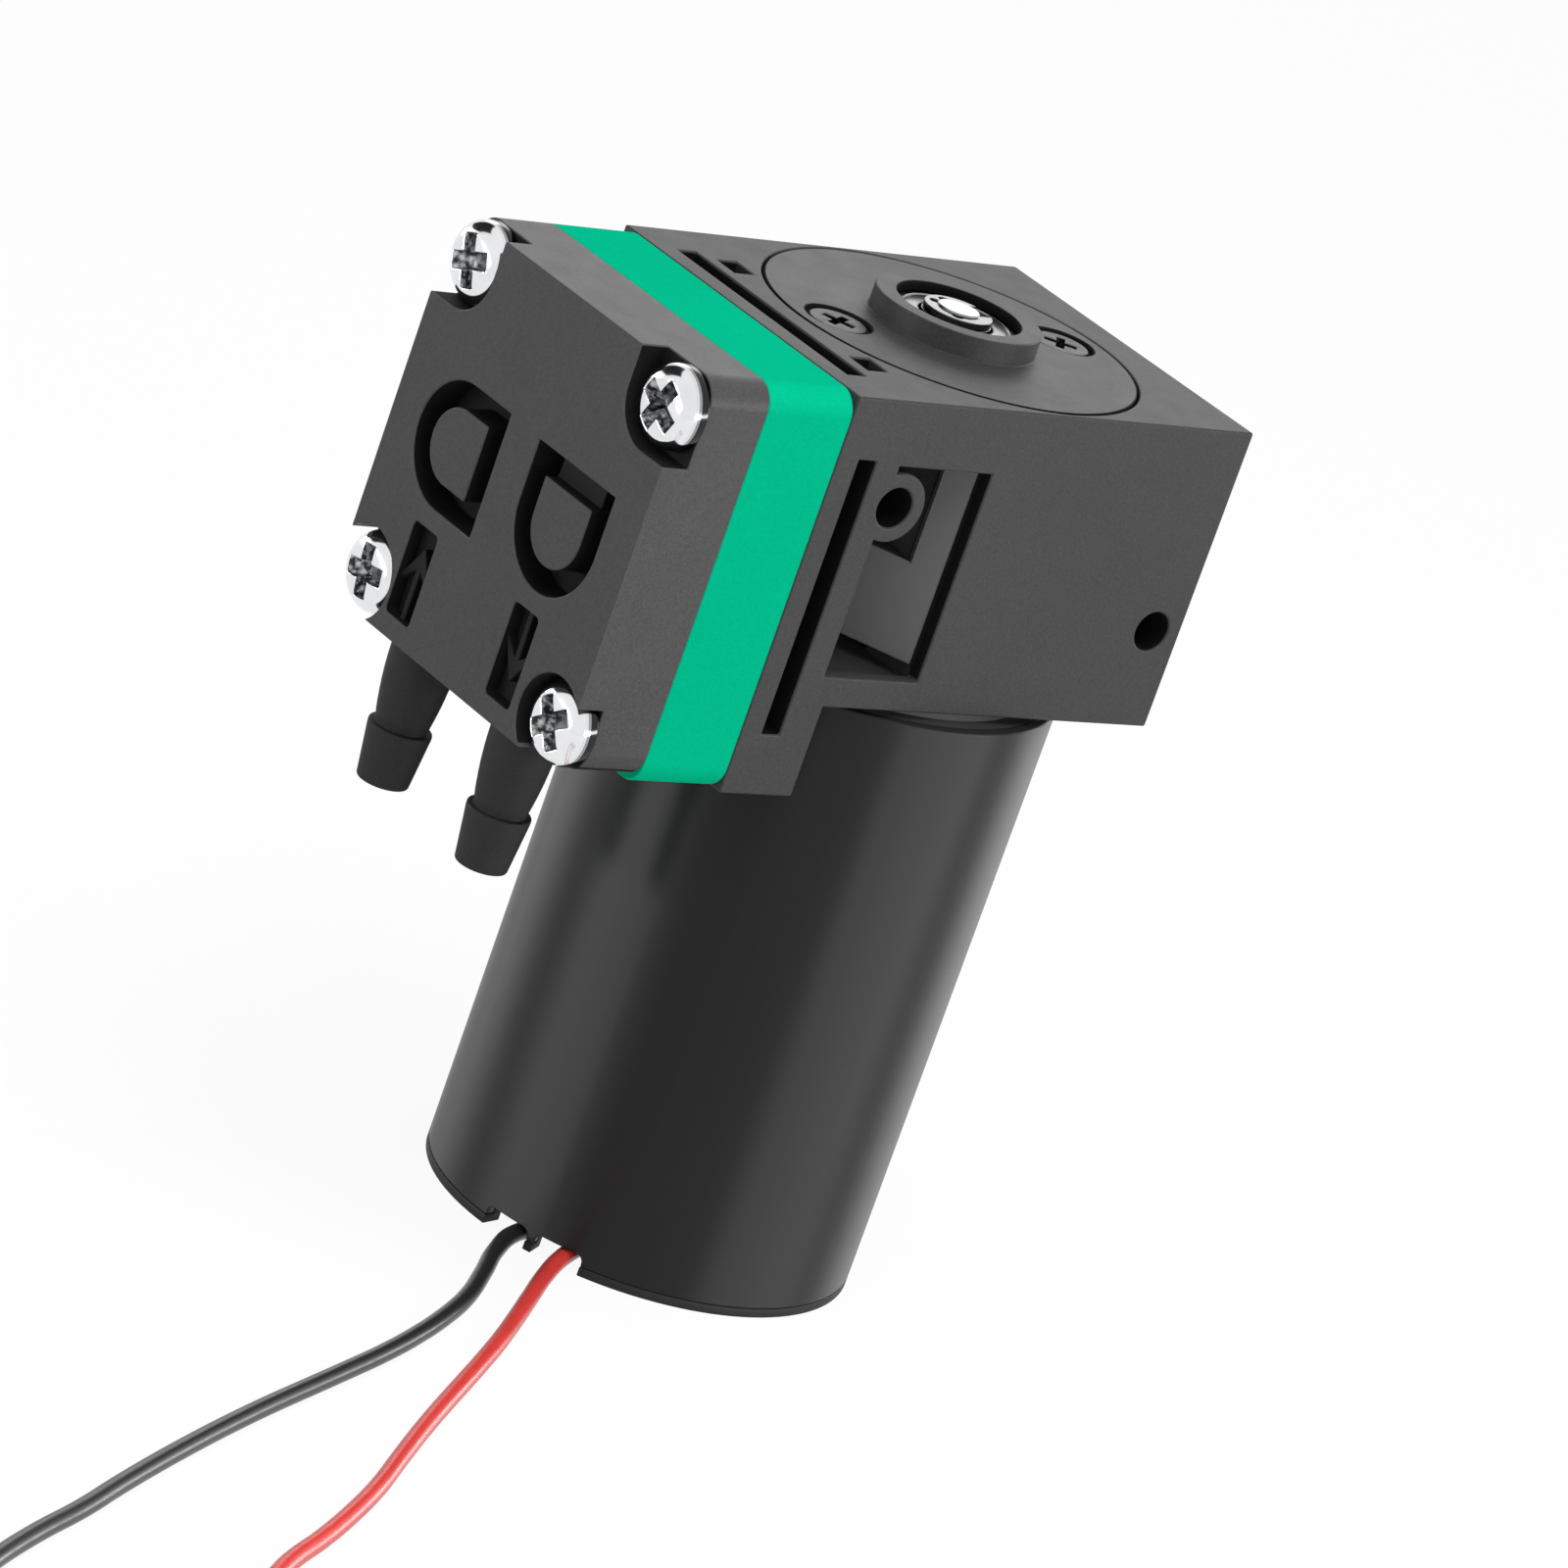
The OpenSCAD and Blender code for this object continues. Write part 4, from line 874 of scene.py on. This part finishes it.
class PUMP_OT_leads(bpy.types.Operator):
    """Black and red motor leads with their coils and bare ends"""

    bl_idname = "pump.leads"
    bl_label = "Leads"

    def execute(self, context):
        sizes = context.scene.pump_sizes
        tips = bmesh.new()
        leads = (
            ("lead_black", BLACK_ROUTE, BLACK_COIL_AT, BLACK_TURNS, "black_lead", "black_coil"),
            ("lead_red", RED_ROUTE, RED_COIL_AT, RED_TURNS, "red_lead", "red_coil"),
        )
        made = []
        for name, route, centre, turns, node, coil in leads:
            flat = list(route) + coil_line(centre, turns)
            points = [Vector((x * MM, y * MM, LEAD_Z * MM)) for x, y in flat]
            made.append((self.jacket(context, name, points, sizes.lead_width, node, coil), points))
            self.strands(tips, points, sizes)
        bmesh.ops.recalc_face_normals(tips, faces=tips.faces)
        ends = mesh_from(tips, "bare_ends")
        ends = add_piece("bare_ends", ends, ["lead_tips"], sharp=60, weighted=False)
        for (lead, points), pieces in zip(made, ([ends], [])):
            round(line_length(points), 4)
        return {"FINISHED"}

    def jacket(self, context, name, points, width, node, coil):
        data = bpy.data.curves.new(name, "CURVE")
        data.dimensions = "3D"
        data.bevel_depth = width / 2
        data.bevel_resolution = 4
        data.resolution_u = 6
        data.use_fill_caps = True
        spline = data.splines.new("BEZIER")
        spline.bezier_points.add(len(points) - 1)
        for knot, point in zip(spline.bezier_points, points):
            knot.co = point
            knot.handle_left_type = "AUTO"
            knot.handle_right_type = "AUTO"
        data.materials.append(FINISHES[node_slots()[node]])
        lead = bpy.data.objects.new(name, data)
        context.scene.collection.objects.link(lead)
        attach(lead, body_of_node(node))
        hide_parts(node, coil)
        return lead

    def strands(self, bm, points, sizes):
        """Twisted bare strands that bend away from the jacket's end."""
        end = points[-1]
        ahead = (points[-1] - points[-2]).normalized()
        inwards = Vector((-ahead.y, ahead.x, 0))
        lift = Vector((0, 0, 1))
        steps, reach, bend = 12, 4.4 * MM, math.radians(30)
        hidden, twist = 0.3, 0.6
        centre_line = [end - ahead * hidden * MM]
        for i in range(steps):
            turn = bend * i / steps
            step = (ahead * math.cos(turn) + inwards * math.sin(turn)) * (reach / steps)
            centre_line.append(centre_line[-1] + step)
        for k in range(sizes.strands + 1):
            line = []
            for i, at in enumerate(centre_line):
                angle = 2 * math.pi * (k / sizes.strands + twist * i / steps)
                off = sizes.strand_width * (0 if k == sizes.strands else 1)
                line.append(at + inwards * off * math.cos(angle) + lift * off * math.sin(angle))
            swept_ring(bm, line, sizes.strand_width / 2, 6)


class PUMP_OT_housing(bpy.types.Operator):
    """Moulded housing with its window, slots and holes"""

    bl_idname = "pump.housing"
    bl_label = "Housing"

    def execute(self, context):
        shell = softened_copy("housing", context.scene.pump_sizes.edge_radius)
        # Painted shade in the slots, pockets, holes and jamb; painted light on the bay's slanted
        # wall.
        mark_faces(shell, "painted_shade", self.in_cavity)
        mark_faces(shell, "smooth", self.on_slanted_wall)
        add_piece("housing_shell", shell, ["housing"])
        return {"FINISHED"}

    def in_cavity(self, at, normal):
        """Inside one of the cavities, on either side of the housing, where shade is painted."""
        place = (abs(at.x), at.y, at.z)
        return any(
            all(low <= value <= high for low, value, high in zip(box[0], place, box[1]))
            for box in CAVITIES
        )

    def on_slanted_wall(self, at, normal):
        """On the bay's wall that faces the head and leans outwards, which is painted lighter as
        painted light.
        """
        return 0.4 < abs(normal.x) < 0.65 and normal.y < -0.7 and at.y < -4


class PUMP_OT_head(bpy.types.Operator):
    """Head cover with grooves, arrows and barbs, and the green plate behind it"""

    bl_idname = "pump.head"
    bl_label = "Head cover and plate"

    def execute(self, context):
        radius = context.scene.pump_sizes.edge_radius
        head = softened_copy("head_cover", radius * 0.7, reshape=self.with_straight_sides)
        # Painted shade in the grooves, pockets and notches and on the barbs.
        mark_faces(head, "painted_shade", self.in_shade)
        add_piece("valve_head", head, ["head_cover"])
        add_softened("green_plate", "middle_plate", radius)
        return {"FINISHED"}

    def with_straight_sides(self, at):
        """Presses the D grooves' straight sides flat where the round bulges past them."""
        for x, side in GROOVES:
            across = Vector((at.x - x, at.z - GROOVE_Z))
            for radius in GROOVE_RADII:
                on_round = abs(across.length - radius) < 0.02
                in_groove = on_round and at.y < HEAD_FACE + GROOVE_DEPTH
                if in_groove and across[side] > radius - GROOVE_FLAT:
                    across[side] = radius - GROOVE_FLAT
                    return Vector((x + across.x, at.y, GROOVE_Z + across.y))
        return at

    def in_shade(self, at, normal):
        """Painted shade on the barbs, and on what lies below the head's face: grooves, arrow
        pockets, corner notches.
        """
        if at.z < HEAD_UNDERSIDE:
            return BARB_SHADE
        below_face = RECESS_Y[0] < at.y < RECESS_Y[1]
        inside = abs(at.x) < RECESS_HALF_WIDTH and RECESS_Z[0] < at.z < RECESS_Z[1]
        return 1 if below_face and inside else 0


class PUMP_OT_cover(bpy.types.Operator):
    """Round cover plate with its bearing boss"""

    bl_idname = "pump.cover"
    bl_label = "Cover plate"

    def execute(self, context):
        radius = context.scene.pump_sizes.edge_radius * 0.7
        cover = softened_copy("cover_plate", radius)
        # Painted shade at the plate's edge, round the screw sinks and in the bore.
        mark_faces(cover, "painted_shade", self.in_gap)
        add_piece("round_cover", cover, ["cover_plate"])
        return {"FINISHED"}

    def in_gap(self, at, normal):
        """The plate's edge, its screw sinks and the bearing's bore, which get painted shade."""
        to_screw = min((at.xy - Vector((x, y))).length for x, y, turn in COVER_SCREWS)
        at_gap = to_screw < COVER_SINK_R or at.xy.length > COVER_R - COVER_RIM
        off_top = abs(normal.z) < 0.95 or at.z < COVER_SCREW_TOP
        in_bore = at.xy.length < COVER_BORE_R and abs(normal.z) < 0.5
        return in_bore or (at_gap and off_top)


class PUMP_OT_screws(bpy.types.Operator):
    """Pan head screws of the head and countersunk screws of the cover plate"""

    bl_idname = "pump.screws"
    bl_label = "Screws"

    def execute(self, context):
        self.pan_screws(context.scene.pump_sizes)
        self.flat_screws()
        return {"FINISHED"}

    def pan_screws(self, sizes):
        half, high = sizes.pan_width / MM / 2, sizes.pan_height / MM
        tip, thread, corner = -15.2, 1.2, 0.12
        shank = [(0, tip), (0.9, tip), (thread, -14.8), (thread, 0)]
        rim = [(half - corner, 0), (half, corner)]
        rounding, skirt, crown = 1.25, 0.34, 0.64
        dome = [
            (half - rounding * (1 - math.cos(a)), high * (skirt + crown * math.sin(a)))
            for a in map(math.radians, range(0, 91, 9))
        ]
        profile = shank + rim + dome + [(0, high)]
        screw = recessed_screw("pan", profile, 72, (3.7, 1.15, 1.25), high + 0.05, 0.045)
        recess_r, recess_z = 1.9, (0.3, 0.86 * high)
        # Painted shade in the cross recess.
        mark_faces(
            screw,
            "painted_shade",
            lambda at, normal: at.xy.length < recess_r and recess_z[0] < at.z < recess_z[1],
        )
        # Painted shade on the lower side of each pan head, fading out upwards.
        dark_z, fade, clear_z = 0.6, 0.35, 0.95
        mark_faces(
            screw, "shade", lambda at, normal: (clear_z - at.z) / fade if at.z > dark_z else 1
        )
        lying = Matrix.Rotation(math.radians(90), 4, "X")
        places = [
            Matrix.Translation((x * MM, HEAD_SCREW_SEAT * MM, z * MM))
            @ lying
            @ Matrix.Rotation(math.radians(turn), 4, "Z")
            for x, z, turn in HEAD_SCREWS
        ]
        pans = placed_copies(screw, places, "pan_screws")
        add_piece("pan_screws", pans, ["head_screws"], sharp=50)

    def flat_screws(self):
        tip, thread, half = -8.18, 0.85, 1.85
        shank = [(0, tip), (0.6, tip), (thread, -7.9), (thread, -1.25)]
        head = [(half, -0.25), (half, -0.06), (1.79, 0), (0, 0)]
        screw = recessed_screw("flat", shank + head, 64, (2.2, 0.55, 0.95), 0.03, 0.035)
        recess_r, recess_z = 1.3, (-1.0, -0.05)
        # Painted shade in the cross recess.
        mark_faces(
            screw,
            "painted_shade",
            lambda at, normal: at.xy.length < recess_r and recess_z[0] < at.z < recess_z[1],
        )
        places = [
            Matrix.Translation((x * MM, y * MM, COVER_SCREW_TOP * MM))
            @ Matrix.Rotation(math.radians(turn), 4, "Z")
            for x, y, turn in COVER_SCREWS
        ]
        flats = placed_copies(screw, places, "flat_screws")
        add_piece("flat_screws", flats, ["cover_screws"], sharp=50)


class PUMP_OT_top_bearing(bpy.types.Operator):
    """Shaft, bearing and retaining clip in the cover's boss"""

    bl_idname = "pump.top_bearing"
    bl_label = "Top bearing"

    def execute(self, context):
        fine = context.scene.pump_sizes.fine_radius
        race = softened_copy("top_bearing_outer", fine)
        # The shield's mark: the shield's grey, with painted shade in the grooves beside it.
        mark_faces(race, "shield_and_groove_shade", lambda at, normal: at.xy.length < SHIELD_REACH)
        add_piece("bearing_outer_ring", race, ["top_bearing_outer"])
        add_softened("bearing_inner_ring", "top_bearing_inner", fine)
        add_softened("motor_shaft", "shaft", fine)
        clip = softened_copy("shaft_clip", fine)
        mark_faces(clip, "shield_and_groove_shade", lambda at, normal: CLIP_SHADE)
        add_piece("retaining_clip", clip, ["shaft_clip"])
        show_nodes("top_bearing_balls")
        return {"FINISHED"}


class PUMP_OT_motor(bpy.types.Operator):
    """Motor tube, end cap, flange, bushings and magnets"""

    bl_idname = "pump.motor"
    bl_label = "Motor"

    def execute(self, context):
        sizes = context.scene.pump_sizes
        add_softened("motor_tube", "motor_case", sizes.edge_radius)
        add_softened("motor_cap", "end_cap", sizes.fine_radius)
        show_nodes("motor_flange", "motor_screws", "front_bushing", "rear_bushing", "magnets")
        return {"FINISHED"}


class PUMP_OT_crank(bpy.types.Operator):
    """Crank, connecting rod, bearing and diaphragm"""

    bl_idname = "pump.crank"
    bl_label = "Crank and diaphragm"

    def execute(self, context):
        fine = context.scene.pump_sizes.fine_radius
        add_softened("rod", "connecting_rod", fine * 2)
        add_softened("crank", "eccentric", fine * 2)
        show_nodes(
            "eccentric_spacer", "rod_bearing_outer", "rod_bearing_inner", "rod_bearing_balls",
            "diaphragm", "diaphragm_washer", "diaphragm_screw",
        )
        return {"FINISHED"}


class PUMP_OT_valves(bpy.types.Operator):
    """Valve sheet and its two flaps"""

    bl_idname = "pump.valves"
    bl_label = "Valves"

    def execute(self, context):
        show_nodes("valve_sheet", "inlet_flap", "outlet_flap")
        return {"FINISHED"}


class PUMP_OT_armature(bpy.types.Operator):
    """Armature with windings, commutator and brushes"""

    bl_idname = "pump.armature"
    bl_label = "Armature"

    def execute(self, context):
        show_nodes("armature_core", "armature_coils", "commutator", "brushes", "brush_arms")
        return {"FINISHED"}


class PUMP_PT_pieces(bpy.types.Panel):
    """Lists the pump's sizes, colours and pieces"""

    bl_idname = "PUMP_PT_pieces"
    bl_label = "Diaphragm pump"
    bl_space_type = "VIEW_3D"
    bl_region_type = "UI"
    bl_category = "Pump"

    def draw(self, context):
        for group in (context.scene.pump_sizes, context.scene.pump_colours):
            for name in group.__annotations__:
                self.layout.prop(group, name)
        for operator in OPERATORS:
            self.layout.operator(operator.bl_idname)


OPERATORS = (
    PUMP_OT_studio,
    PUMP_OT_leads,
    PUMP_OT_housing,
    PUMP_OT_head,
    PUMP_OT_cover,
    PUMP_OT_screws,
    PUMP_OT_top_bearing,
    PUMP_OT_motor,
    PUMP_OT_crank,
    PUMP_OT_valves,
    PUMP_OT_armature,
)
CLASSES = (PumpSizes, PumpColours, *OPERATORS, PUMP_PT_pieces)


def register():
    for item in CLASSES:
        bpy.utils.register_class(item)
    bpy.types.Scene.pump_sizes = PointerProperty(type=PumpSizes)
    bpy.types.Scene.pump_colours = PointerProperty(type=PumpColours)


def unregister():
    del bpy.types.Scene.pump_colours
    del bpy.types.Scene.pump_sizes
    for item in reversed(CLASSES):
        bpy.utils.unregister_class(item)


def main():
    register()
    FINISHES.update(finish_table(bpy.context.scene.pump_colours))
    for operator in OPERATORS:
        group, name = operator.bl_idname.split(".")
        getattr(getattr(bpy.ops, group), name)()


if __name__ == "__main__":
    main()
